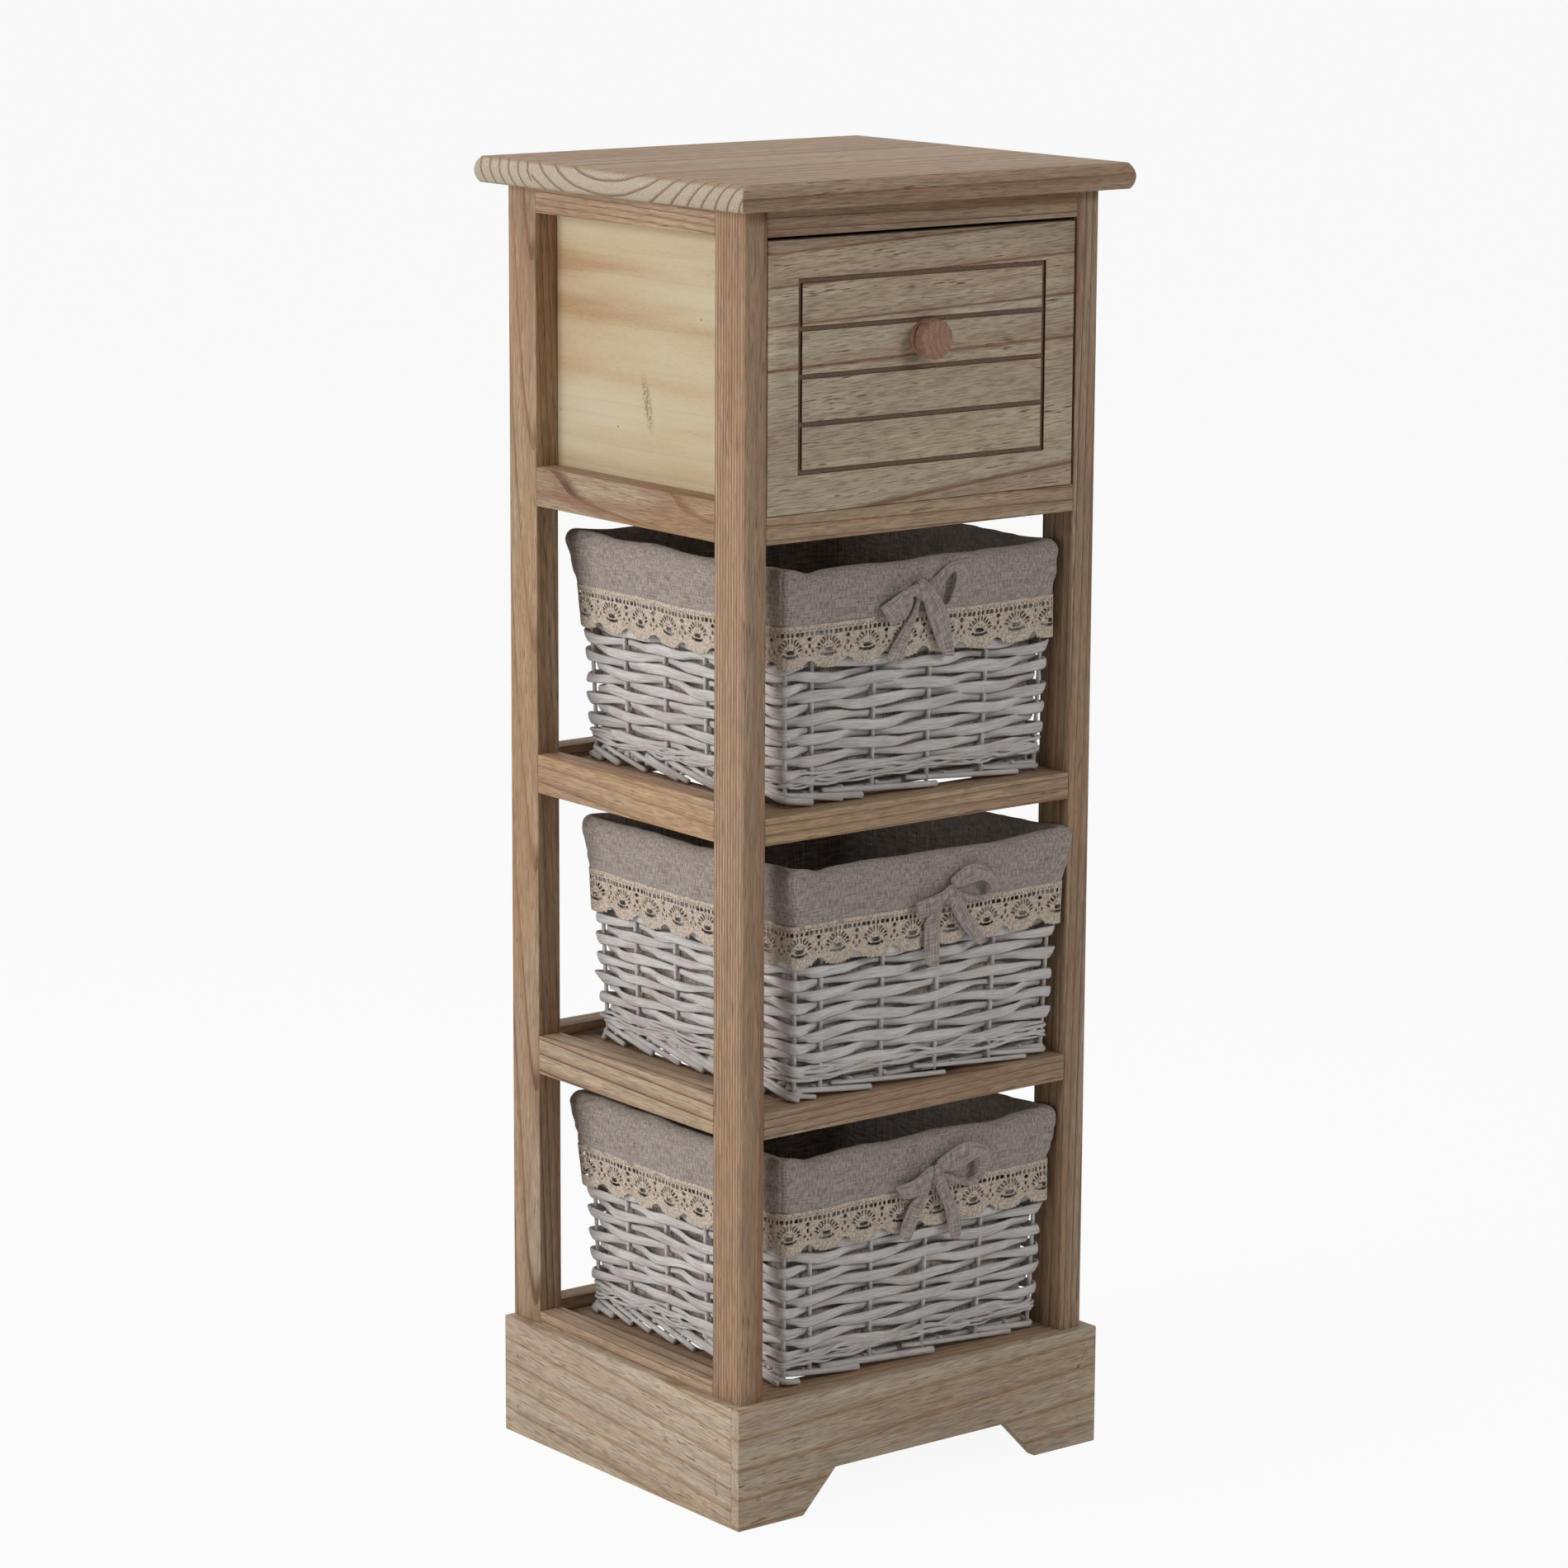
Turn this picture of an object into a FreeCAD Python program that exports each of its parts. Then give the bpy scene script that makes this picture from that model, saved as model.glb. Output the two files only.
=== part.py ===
"""Slim wooden drawer unit: a moulded top, one drawer, and three open bays that hold lined wicker baskets.

Millimetres. X runs to the right, Y to the back and Z up. The origin is on the floor, under the top's middle.
"""

import FreeCAD
import Part
import math
import os

Vector = FreeCAD.Vector

# Overall size
unit_width = 300.0
unit_depth = 270.0
unit_height = 810.0

# Top board, with a shallow round edge that bulges most near its middle
top_thickness = 16.0
top_edge_drawn_in_above = 3.6
top_edge_drawn_in_below = 2.6
top_overhang_side = 15.0
top_overhang_front = 17.5
top_overhang_back = 15.0

# Timber: posts and rails share one thickness
timber_thickness = 16.5
post_depth = 28.5
rail_width = 24.5
basket_bay_names = ("upper", "middle", "lower")

# Runners: flat strips inside the side rails, level with the front rails
runner_width = 33.0
runner_thickness = 8.0

# Plywood panels round the drawer bay
ply_thickness = 3.0

# Plinth boards nailed round the feet of the posts, as high as the lowest shelf
plinth_height = 76.0
plinth_thickness = 7.5
plinth_foot_length = 50.0
plinth_notch_slope = 25.0
plinth_notch_height = 26.0

# Fasteners: one size of dowel for the rails and the top, and brads for the plinth
dowel_radius = 3.0
dowel_in_post = 11.0
dowel_in_rail = 14.0
top_dowel_inset = 45.0
hole_play = 0.1
hole_end_play = 0.5
brad_radius = 0.8
brad_set = 0.4
brad_in_post = 10.0
brad_low = 18.0
brad_high = 52.0

# Drawer
drawer_gap_left = 0.6
drawer_gap_right = 2.0
drawer_gap_top = 2.2
slide_clearance = 0.3
drawer_front_thickness = 12.0
drawer_front_hang = 0.1
drawer_wall_thickness = 9.0
drawer_wall_height = 120.0
drawer_side_play = 2.5
drawer_back_play = 4.5
drawer_bottom_thickness = 3.0
drawer_bottom_rise = 6.0
drawer_groove_depth = 4.0
panel_groove_inset = 22.5
panel_groove_width = 3.0
panel_groove_depth = 1.8
panel_slats = 4

# Turned knob and its screw
knob_rise = 17.0
knob_base_radius = 11.0
knob_base_height = 2.8
knob_base_round = 0.8
knob_neck_radius = 8.6
knob_neck_height = 2.8
knob_head_radius = 12.0
knob_head_height = 8.0
knob_head_round = 2.6
knob_screw_radius = 2.0
knob_screw_in_knob = 8.0
knob_screw_head_radius = 4.2
knob_screw_head_height = 2.6

# Wicker baskets
basket_side_play = 22.0
basket_depth_play = 10.0
basket_head_room = 19.7
basket_corner_radius = 8.0
wicker_thickness = 5.0
wicker_floor_thickness = 6.0
wicker_wall_taper = 4.0
wicker_border_proud = 3.0
wicker_border_height = 17.0
basket_upper_back_gap = 2.0
basket_middle_back_gap = 9.7
basket_lower_back_gap = 4.0
basket_upper_shift_share = 0.71
basket_middle_shift_share = 0.92
basket_lower_shift_share = 0.68

# Linen lining, turned down over the rim
linen_thickness = 1.2
soft_clearance = 0.3
cuff_height = 34.0
cuff_stand_off = 2.5
cuff_roll_width = 4.0
cuff_roll_height = 4.0
cuff_shoulder_height = 9.0

# Lace sewn to the hem of the cuff
lace_height = 27.0
lace_overlap = 2.0
lace_thickness = 0.8
lace_hem_drawn_in = 0.5

# Ribbon bow on the front of each cuff
bow_knot_width = 10.0
bow_knot_height = 12.0
bow_knot_depth = 7.0
bow_knot_round = 2.5
bow_loop_length = 34.0
bow_loop_width = 20.0
bow_loop_depth = 6.0
bow_tail_length = 46.0
bow_tail_width = 14.0
bow_tail_thickness = 1.2
bow_below_rim = 22.0
bow_upper_shift = -7.0
bow_middle_shift = 10.5
bow_lower_shift = 9.5

# A loop's size along its length, from the knot to its end: share of the length, share of width and depth
bow_swell_shares = [(0.0, 0.35), (0.3, 0.8), (0.65, 1.0), (0.92, 0.8), (1.0, 0.45)]

# Each bow's loops and tails: degrees anticlockwise from the right, share of the length, share of the width
bow_loop_shares = {
    "upper": [(206, 0.97, 1.0), (22, 0.97, 0.95)],
    "middle": [(190, 0.86, 0.6), (12, 1.1, 1.1)],
    "lower": [(190, 1.0, 0.85), (12, 1.15, 1.2)],
}
bow_tail_shares = {
    "upper": [(246, 1.03, 1.0), (299, 1.08, 1.0)],
    "middle": [(255, 0.98, 0.9), (308, 0.96, 0.95)],
    "lower": [(238, 0.99, 0.9), (291, 1.06, 0.8)],
}

# Overrun of every cutting body
overrun = 2.0

# Places worked out from the sizes above
frame_left = -unit_width / 2 + top_overhang_side
frame_right = -frame_left
frame_front = -unit_depth / 2 + top_overhang_front
frame_back = unit_depth / 2 - top_overhang_back
frame_top = unit_height - top_thickness
bay_left = frame_left + timber_thickness
bay_right = -bay_left
side_rail_front = frame_front + post_depth
side_rail_back = frame_back - post_depth
front_rail_back = frame_front + rail_width
back_rail_front = frame_back - timber_thickness
top_rail_bottom = frame_top - timber_thickness
level_names = ("drawer",) + basket_bay_names
level_pitch = (frame_top - plinth_height) / len(level_names)
shelf_tops = {level: frame_top - (step + 1) * level_pitch for step, level in enumerate(level_names)}
level_bottoms = {level: top - timber_thickness for level, top in shelf_tops.items()}


def write(name, shape):
    """Writes one sub-part as a STEP file."""
    shape.exportStep("parts/" + name + ".step")


def block(x_low, x_high, y_low, y_high, z_low, z_high):
    """A plain board between six planes."""
    return Part.makeBox(x_high - x_low, y_high - y_low, z_high - z_low, Vector(x_low, y_low, z_low))


def rod(start, direction, length, radius):
    """A round bar from a start point along a direction."""
    return Part.makeCylinder(radius, length, start, direction)


def rounded_outline(width, depth, radius, z):
    """A closed rectangle with round corners, centred on the Z axis."""
    x = width / 2 - radius
    y = depth / 2 - radius
    corners = [(x, -y, -90), (x, y, 0), (-x, y, 90), (-x, -y, 180)]
    edges = []
    last = None
    for corner_x, corner_y, turn in corners:
        points = []
        for angle in (turn, turn + 45, turn + 90):
            a = math.radians(angle)
            points.append(Vector(corner_x + radius * math.cos(a), corner_y + radius * math.sin(a), z))
        if last:
            edges.append(Part.LineSegment(last, points[0]).toShape())
        edges.append(Part.Arc(*points).toShape())
        last = points[2]
    edges.append(Part.LineSegment(last, edges[0].Vertexes[0].Point).toShape())
    return Part.Wire(edges)


def tapered(sections):
    """A solid through rounded rectangles, each given as width, depth, radius and height."""
    return Part.makeLoft([rounded_outline(*section) for section in sections], True, True)


def top_board():
    """The top, moulded on all four edges: two long mouldings crossed at the corners."""
    def moulding(half, across):
        outline = [
            Vector(half - top_edge_drawn_in_below, 0, frame_top),
            Vector(half, 0, frame_top + bulge_height),
            Vector(half - top_edge_drawn_in_above, 0, unit_height),
        ]
        mirrored = [Vector(-p.x, 0, p.z) for p in reversed(outline)]
        wire = Part.Wire([
            Part.Arc(*outline).toShape(),
            Part.LineSegment(outline[2], mirrored[0]).toShape(),
            Part.Arc(*mirrored).toShape(),
            Part.LineSegment(mirrored[2], outline[0]).toShape(),
        ])
        bar = Part.Face(wire).extrude(Vector(0, across, 0))
        bar.translate(Vector(0, -across / 2, 0))
        return bar

    above = math.sqrt(top_edge_drawn_in_above)
    below = math.sqrt(top_edge_drawn_in_below)
    bulge_height = top_thickness * below / (above + below)
    along_y = moulding(unit_width / 2, unit_depth + overrun)
    along_x = moulding(unit_depth / 2, unit_width + overrun)
    along_x.rotate(Vector(0, 0, 0), Vector(0, 0, 1), 90)
    return along_y.common(along_x)


def dowel_seats():
    """Where each dowel crosses into a rail, from a post or the top: the joint's point and the way in."""
    seats = []
    levels = dict(level_bottoms, top=top_rail_bottom)
    front_y = frame_front + rail_width / 2
    back_y = frame_back - timber_thickness / 2
    side_x = frame_right - timber_thickness / 2
    down = Vector(0, 0, -1)
    for side in (-1, 1):
        rail_x = side * (bay_right - top_dowel_inset)
        seats.append((Vector(rail_x, front_y, frame_top), down))
        seats.append((Vector(rail_x, back_y, frame_top), down))
        seats.append((Vector(side * side_x, side_rail_front + top_dowel_inset, frame_top), down))
        seats.append((Vector(side * side_x, side_rail_back - top_dowel_inset, frame_top), down))
    for level, bottom in levels.items():
        low_z = bottom + timber_thickness / 2
        tall_z = low_z if level == "top" else bottom + rail_width / 2
        for side in (-1, 1):
            seats.append((Vector(side * bay_right, front_y, low_z), Vector(-side, 0, 0)))
            seats.append((Vector(side * bay_right, back_y, tall_z), Vector(-side, 0, 0)))
            seats.append((Vector(side * side_x, side_rail_front, tall_z), Vector(0, 1, 0)))
            seats.append((Vector(side * side_x, side_rail_back, tall_z), Vector(0, -1, 0)))
    return seats


def dowel(seat, play, end_play):
    """One dowel, or with play the hole that it sits in."""
    point, inward = seat
    start = point - inward * (dowel_in_post + end_play)
    return rod(start, inward, dowel_in_post + dowel_in_rail + 2 * end_play, dowel_radius + play)


def brad_seats():
    """Where the plinth boards are nailed to the posts: the board's face and the way in."""
    seats = []
    post_x = frame_right - timber_thickness / 2
    for height in (brad_low, brad_high):
        for side in (-1, 1):
            seats.append((Vector(side * post_x, frame_front - plinth_thickness, height), Vector(0, 1, 0)))
            for y in (frame_front + post_depth / 2, frame_back - post_depth / 2):
                face_x = side * (frame_right + plinth_thickness)
                seats.append((Vector(face_x, y, height), Vector(-side, 0, 0)))
    return seats


def brad(seat):
    """One headless nail, set a little under the face of the board."""
    point, inward = seat
    return rod(point + inward * brad_set, inward, plinth_thickness - brad_set + brad_in_post, brad_radius)


def brad_hole(seat):
    """The hole that a brad leaves, open at the face of the board."""
    point, inward = seat
    length = plinth_thickness + brad_in_post + hole_end_play + overrun
    return rod(point - inward * overrun, inward, length, brad_radius + hole_play)


dowel_holes = Part.makeCompound([dowel(seat, hole_play, hole_end_play) for seat in dowel_seats()])
brad_holes = Part.makeCompound([brad_hole(seat) for seat in brad_seats()])


def make_posts():
    """Four upright posts, drilled for the rails' dowels and the plinth's brads."""
    for front_or_back, y_low in (("front", frame_front), ("back", frame_back - post_depth)):
        for side, x_low in (("left", frame_left), ("right", bay_right)):
            post = block(x_low, x_low + timber_thickness, y_low, y_low + post_depth, 0, frame_top)
            write("post_" + front_or_back + "_" + side, post.cut(dowel_holes).cut(brad_holes))


def make_rails():
    """Rails between the posts: the front ones lie flat, the others stand on edge and form a lip."""
    for level, bottom in dict(level_bottoms, top=top_rail_bottom).items():
        tall = timber_thickness if level == "top" else rail_width
        rails = {
            "front": block(
                bay_left, bay_right, frame_front, front_rail_back, bottom, bottom + timber_thickness
            ),
            "back": block(bay_left, bay_right, back_rail_front, frame_back, bottom, bottom + tall),
            "left": block(frame_left, bay_left, side_rail_front, side_rail_back, bottom, bottom + tall),
            "right": block(bay_right, frame_right, side_rail_front, side_rail_back, bottom, bottom + tall),
        }
        for side, rail in rails.items():
            write(level + "_rail_" + side, rail.cut(dowel_holes))


def make_runners():
    """Two flat strips at each level, flush with the front rail, that carry the drawer or a basket."""
    for level, top in shelf_tops.items():
        for side, x_low in (("left", bay_left), ("right", bay_right - runner_width)):
            strip = block(
                x_low, x_low + runner_width, front_rail_back, back_rail_front, top - runner_thickness, top
            )
            write(level + "_runner_" + side, strip)


def make_panels():
    """Plywood round the drawer bay: one panel inside each pair of posts, one inside the back rails."""
    low = shelf_tops["drawer"]
    left = block(bay_left, bay_left + ply_thickness, front_rail_back, back_rail_front, low, frame_top)
    right = block(bay_right - ply_thickness, bay_right, front_rail_back, back_rail_front, low, frame_top)
    back = block(
        bay_left + ply_thickness, bay_right - ply_thickness, back_rail_front - ply_thickness,
        back_rail_front, low, frame_top,
    )
    write("side_panel_left", left)
    write("side_panel_right", right)
    write("back_panel", back)


def make_plinth():
    """Three boards round the foot of the frame; the front one is cut out to leave two feet."""
    outer_x = frame_right + plinth_thickness
    face_y = frame_front - plinth_thickness
    foot_x = outer_x - plinth_foot_length
    notch_x = foot_x - plinth_notch_slope
    outline = [
        (-outer_x, 0), (-foot_x, 0), (-notch_x, plinth_notch_height), (notch_x, plinth_notch_height),
        (foot_x, 0), (outer_x, 0), (outer_x, plinth_height), (-outer_x, plinth_height),
    ]
    wire = Part.makePolygon([Vector(x, face_y, z) for x, z in outline + outline[:1]])
    front = Part.Face(wire).extrude(Vector(0, plinth_thickness, 0))
    write("plinth_front", front.cut(brad_holes))
    for side, x_low in (("left", -outer_x), ("right", frame_right)):
        board = block(x_low, x_low + plinth_thickness, frame_front, frame_back, 0, plinth_height)
        write("plinth_" + side, board.cut(brad_holes))


def panel_grooves(left, right, low, high, face_y):
    """The routed frame and cross lines that make the drawer front look like four slats."""
    back_y = face_y + panel_groove_depth
    width = panel_groove_width

    def groove(x_low, x_high, z_low, z_high):
        return block(x_low, x_high, face_y - overrun, back_y, z_low, z_high)

    cuts = [groove(left, left + width, low, high), groove(right - width, right, low, high)]
    pitch = (high - low - width) / panel_slats
    for line in range(panel_slats + 1):
        z_low = low + line * pitch
        cuts.append(groove(left, right, z_low, z_low + width))
    return Part.makeCompound(cuts)


def knob_shape(centre):
    """A turned knob on a Y axis: base ring, narrow neck, and a round-edged head."""
    neck_end = knob_base_height + knob_neck_height
    head_end = neck_end + knob_head_height
    head_round = knob_head_round
    base_round = knob_base_round
    bevel_share = math.sqrt(0.5)

    def edge_arc(radius, height, size, upper):
        """A quarter round between the side at the radius and the face at the height."""
        sign = 1 if upper else -1
        inner = radius - size
        mid = Vector(inner + size * bevel_share, height + sign * (size * bevel_share - size), 0)
        side = Vector(radius, height - sign * size, 0)
        face = Vector(inner, height, 0)
        return (side, mid, face) if upper else (face, mid, side)

    base_arc = edge_arc(knob_base_radius, knob_base_height, base_round, True)
    low_arc = edge_arc(knob_head_radius, neck_end, base_round, False)
    high_arc = edge_arc(knob_head_radius, head_end, head_round, True)
    stops = [
        Vector(0, 0, 0), Vector(knob_base_radius, 0, 0), base_arc,
        Vector(knob_neck_radius, knob_base_height, 0), Vector(knob_neck_radius, neck_end, 0),
        low_arc, high_arc, Vector(0, head_end, 0), Vector(0, 0, 0),
    ]
    edges = []
    last = None
    for stop in stops:
        first = stop[0] if isinstance(stop, tuple) else stop
        if last:
            edges.append(Part.LineSegment(last, first).toShape())
        if isinstance(stop, tuple):
            edges.append(Part.Arc(*stop).toShape())
        last = stop[2] if isinstance(stop, tuple) else stop
    turned = Part.Face(Part.Wire(edges)).revolve(Vector(0, 0, 0), Vector(0, 1, 0), 360)
    turned.rotate(Vector(0, 0, 0), Vector(0, 0, 1), 180)
    turned.translate(centre)
    return turned


def make_drawer():
    """The drawer: a routed front, two sides, a back, a bottom held in grooves, and a screwed knob."""
    low = shelf_tops["drawer"] + slide_clearance
    front_y = frame_front
    inner_y = front_y + drawer_front_thickness
    left = bay_left + drawer_gap_left
    right = bay_right - drawer_gap_right
    front_low = low + drawer_front_hang
    front_high = top_rail_bottom - drawer_gap_top
    box_x = bay_right - ply_thickness - drawer_side_play
    wall = drawer_wall_thickness
    box_back = back_rail_front - ply_thickness - drawer_back_play
    box_high = low + drawer_wall_height
    bottom_low = low + drawer_bottom_rise
    inner_x = box_x - wall
    panel_x = inner_x + drawer_groove_depth
    panel_front = inner_y - drawer_groove_depth
    panel_back = box_back - wall + drawer_groove_depth

    bottom = block(
        -panel_x, panel_x, panel_front, panel_back, bottom_low, bottom_low + drawer_bottom_thickness
    )
    bottom_groove = block(
        -panel_x - hole_play, panel_x + hole_play, panel_front - hole_play, panel_back + hole_play,
        bottom_low - hole_play, bottom_low + drawer_bottom_thickness + hole_play,
    )

    knob_centre = Vector((left + right) / 2, front_y, (front_low + front_high) / 2 + knob_rise)
    screw_length = drawer_front_thickness + knob_screw_in_knob
    out = Vector(0, -1, 0)
    screw_start = Vector(knob_centre.x, inner_y, knob_centre.z)
    screw = rod(screw_start, out, screw_length, knob_screw_radius)
    head_start = screw_start - out * knob_screw_head_height
    screw = screw.fuse(rod(head_start, out, knob_screw_head_height, knob_screw_head_radius))
    screw_hole = rod(
        screw_start - out * overrun, out, screw_length + overrun + hole_end_play,
        knob_screw_radius + hole_play,
    )

    inset = panel_groove_inset
    grooves = panel_grooves(left + inset, right - inset, front_low + inset, front_high - inset, front_y)
    front = block(left, right, front_y, inner_y, front_low, front_high)
    write("drawer_front", front.cut(grooves).cut(bottom_groove).cut(screw_hole))
    for side, x_low in (("left", -box_x), ("right", inner_x)):
        board = block(x_low, x_low + wall, inner_y, box_back, low, box_high)
        write("drawer_side_" + side, board.cut(bottom_groove))
    back = block(-inner_x, inner_x, box_back - wall, box_back, low, box_high)
    write("drawer_back", back.cut(bottom_groove))
    write("drawer_bottom", bottom)
    write("knob", knob_shape(knob_centre).cut(screw_hole))
    write("knob_screw", screw)


rim_width = bay_right - bay_left - basket_side_play
rim_depth = back_rail_front - frame_front - basket_depth_play
rim_height = level_pitch - timber_thickness - basket_head_room - slide_clearance
wicker_height = rim_height - cuff_roll_height - linen_thickness - soft_clearance


def wicker_size(height, grow):
    """Outline of the woven wall at a height above the basket's base, grown or shrunk all round."""
    taper = wicker_wall_taper * (wicker_height - height) / wicker_height
    less = 2 * (cuff_stand_off + taper - grow)
    return (rim_width - less, rim_depth - less, basket_corner_radius + grow, height)


def wicker_shell():
    """The woven body: a tapered wall, a floor, and a proud border of bundled rods at the base."""
    wall = tapered([wicker_size(0, 0), wicker_size(wicker_height, 0)])
    base = wicker_size(0, wicker_border_proud)
    border = tapered([base, base[:3] + (wicker_border_height,)])
    hollow = tapered([
        wicker_size(wicker_floor_thickness, -wicker_thickness),
        wicker_size(wicker_height + overrun, -wicker_thickness),
    ])
    return wall.fuse(border).cut(hollow).removeSplitter()


def cuff_sections():
    """Outlines of the turned-down cuff, from its hem to the top of the rolled rim."""
    hem = rim_height - cuff_height
    shoulder = rim_height - cuff_shoulder_height
    roll = rim_height - cuff_roll_height / 2
    radius = basket_corner_radius + cuff_stand_off
    drawn = 2 * (lace_thickness + soft_clearance)
    rolled = 2 * cuff_roll_width
    return [
        (rim_width - drawn, rim_depth - drawn, radius, hem),
        (rim_width, rim_depth, radius, shoulder),
        (rim_width - rolled / 3, rim_depth - rolled / 3, radius, roll),
        (rim_width - rolled, rim_depth - rolled, radius, rim_height),
    ]


def linen_lining():
    """One linen piece: a lining inside the wicker, rolled over its rim and down outside as a cuff."""
    over_top = wicker_height + soft_clearance
    lining_grow = -wicker_thickness - soft_clearance
    floor = wicker_floor_thickness + soft_clearance
    lining = tapered([wicker_size(floor, lining_grow), wicker_size(over_top + overrun, lining_grow)])
    cuff = tapered(cuff_sections())
    over_wicker = tapered([wicker_size(0, soft_clearance), wicker_size(over_top, soft_clearance)])
    inside_grow = lining_grow - linen_thickness
    inside = tapered([
        wicker_size(floor + linen_thickness, inside_grow),
        wicker_size(rim_height + overrun, inside_grow),
    ])
    return cuff.cut(over_wicker).fuse(lining).cut(inside).removeSplitter()


def lace_band():
    """The lace: a thin band that overlaps the hem of the cuff and hangs below it."""
    high = rim_height - cuff_height + lace_overlap
    low = high - lace_height
    drawn = 2 * lace_hem_drawn_in
    radius = basket_corner_radius + cuff_stand_off

    def band(shrink, extra):
        return tapered([
            (rim_width - drawn - 2 * shrink, rim_depth - drawn - 2 * shrink, radius - shrink, low - extra),
            (rim_width - 2 * shrink, rim_depth - 2 * shrink, radius - shrink, high + extra),
        ])

    outer = band(0, 0)
    return outer.cut(band(lace_thickness, overrun))


def bow_loop(angle, length_share, width_share):
    """One loop: a soft flattened pad that swells away from the knot, at an angle in the XZ plane."""
    length = bow_loop_length * length_share
    outlines = []
    for along_share, size_share in bow_swell_shares:
        width = bow_loop_width * width_share * size_share
        depth = bow_loop_depth * size_share
        outlines.append(rounded_outline(width, depth, depth / 3, length * along_share))
    pad = Part.makeLoft(outlines, True, True)
    pad.rotate(Vector(0, 0, 0), Vector(0, 1, 0), 90 - angle)
    return pad


def bow_tail(angle, length_share, width_share):
    """One loose end of the ribbon, cut off slanting, at an angle in the XZ plane."""
    length = bow_tail_length * length_share
    half = bow_tail_width * width_share / 2
    outline = [(-half / 2, 0), (half / 2, 0), (half, length), (-half, length - half)]
    wire = Part.makePolygon([Vector(x, 0, z) for x, z in outline + outline[:1]])
    tail = Part.Face(wire).extrude(Vector(0, bow_tail_thickness, 0))
    tail.rotate(Vector(0, 0, 0), Vector(0, 1, 0), 90 - angle)
    return tail


def ribbon_bow(loops, tails):
    """A tied bow whose flat back lies in the XZ plane, with its knot at the origin."""
    knot = block(
        -bow_knot_width / 2, bow_knot_width / 2, -bow_knot_depth, 0, -bow_knot_height / 2, bow_knot_height / 2
    )
    front_edges = [edge for edge in knot.Edges if edge.BoundBox.YMax < -bow_knot_depth / 2]
    bow = knot.makeFillet(bow_knot_round, front_edges)
    for loop_shares in loops:
        loop = bow_loop(*loop_shares)
        loop.translate(Vector(0, -bow_loop_depth / 2, 0))
        bow = bow.fuse(loop)
    for tail_shares in tails:
        tail = bow_tail(*tail_shares)
        tail.translate(Vector(0, -bow_tail_thickness, 0))
        bow = bow.fuse(tail)
    return bow.removeSplitter()


def make_baskets():
    """Three like baskets, each placed as it was pushed into its bay."""
    back_gaps = {
        "upper": basket_upper_back_gap, "middle": basket_middle_back_gap, "lower": basket_lower_back_gap,
    }
    shift_shares = {
        "upper": basket_upper_shift_share, "middle": basket_middle_shift_share,
        "lower": basket_lower_shift_share,
    }
    bow_shifts = {"upper": bow_upper_shift, "middle": bow_middle_shift, "lower": bow_lower_shift}
    wicker = wicker_shell()
    lining = linen_lining()
    lace = lace_band()
    for bay in basket_bay_names:
        centre = Vector(
            shift_shares[bay] * basket_side_play / 2,
            back_rail_front - back_gaps[bay] - rim_depth / 2,
            shelf_tops[bay] + slide_clearance,
        )
        bow = ribbon_bow(bow_loop_shares[bay], bow_tail_shares[bay])
        bow.translate(Vector(bow_shifts[bay], -rim_depth / 2, rim_height - bow_below_rim))
        for piece, shape in (("wicker", wicker), ("lining", lining), ("lace", lace), ("bow", bow)):
            placed = shape.copy()
            placed.translate(centre)
            write("basket_" + bay + "_" + piece, placed)


os.makedirs("parts", exist_ok=True)
write("top_board", top_board().cut(dowel_holes))
make_posts()
make_rails()
make_runners()
make_panels()
make_plinth()
write("dowels", Part.makeCompound([dowel(seat, 0, 0) for seat in dowel_seats()]))
write("plinth_brads", Part.makeCompound([brad(seat) for seat in brad_seats()]))
make_drawer()
make_baskets()
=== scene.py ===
import bisect
import bmesh
import bpy
import functools
import math
import random
from mathutils import Matrix, Vector, noise


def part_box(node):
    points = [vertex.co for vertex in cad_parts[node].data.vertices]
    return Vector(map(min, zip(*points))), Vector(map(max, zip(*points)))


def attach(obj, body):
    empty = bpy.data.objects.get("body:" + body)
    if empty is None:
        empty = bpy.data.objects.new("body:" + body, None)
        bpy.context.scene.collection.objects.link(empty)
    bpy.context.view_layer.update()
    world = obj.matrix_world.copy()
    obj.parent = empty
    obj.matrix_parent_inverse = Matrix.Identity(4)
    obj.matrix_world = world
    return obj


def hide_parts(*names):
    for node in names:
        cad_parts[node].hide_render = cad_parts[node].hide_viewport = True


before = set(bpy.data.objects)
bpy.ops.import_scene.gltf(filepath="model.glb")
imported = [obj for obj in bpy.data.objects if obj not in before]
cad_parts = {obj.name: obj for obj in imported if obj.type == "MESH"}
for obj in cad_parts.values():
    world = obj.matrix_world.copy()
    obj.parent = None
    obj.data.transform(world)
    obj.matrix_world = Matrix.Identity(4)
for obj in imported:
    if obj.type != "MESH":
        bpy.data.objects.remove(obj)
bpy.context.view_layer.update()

# Studio: a pale floor, a broad soft light from the left for the side, a smaller one from the upper right
# for the front, and a plain white surround. The camera stands where the photograph was taken from.
camera_place = Vector((-1.9365, -2.4657, 1.0591))
camera_back = Vector((-0.6028, -0.7727, 0.1989))
camera_right = Vector((0.7884, -0.6151, 0.0))
camera_roll = math.radians(0.281)
camera_lens = 118.12
floor_reach = 30.0
surround_strength = 0.20
side_light = {"place": (-2.6, 0.3, 1.1), "aim": (0, 0, 0.4), "size": 1.7, "power": 42}
front_light = {"place": (1.3, -2.6, 2.0), "aim": (0, 0, 0.45), "size": 0.8, "power": 22}
top_light = {"place": (-0.3, 0.4, 2.6), "aim": (0, 0, 0.8), "size": 1.2, "power": 13}


def tint(red, green, blue):
    """A colour given as it looks, 0 to 255, as the linear colour that a socket takes."""
    parts = [part / 255 for part in (red, green, blue)]
    return tuple(p / 12.92 if p <= 0.04045 else ((p + 0.055) / 1.055) ** 2.4 for p in parts) + (1.0,)


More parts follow.
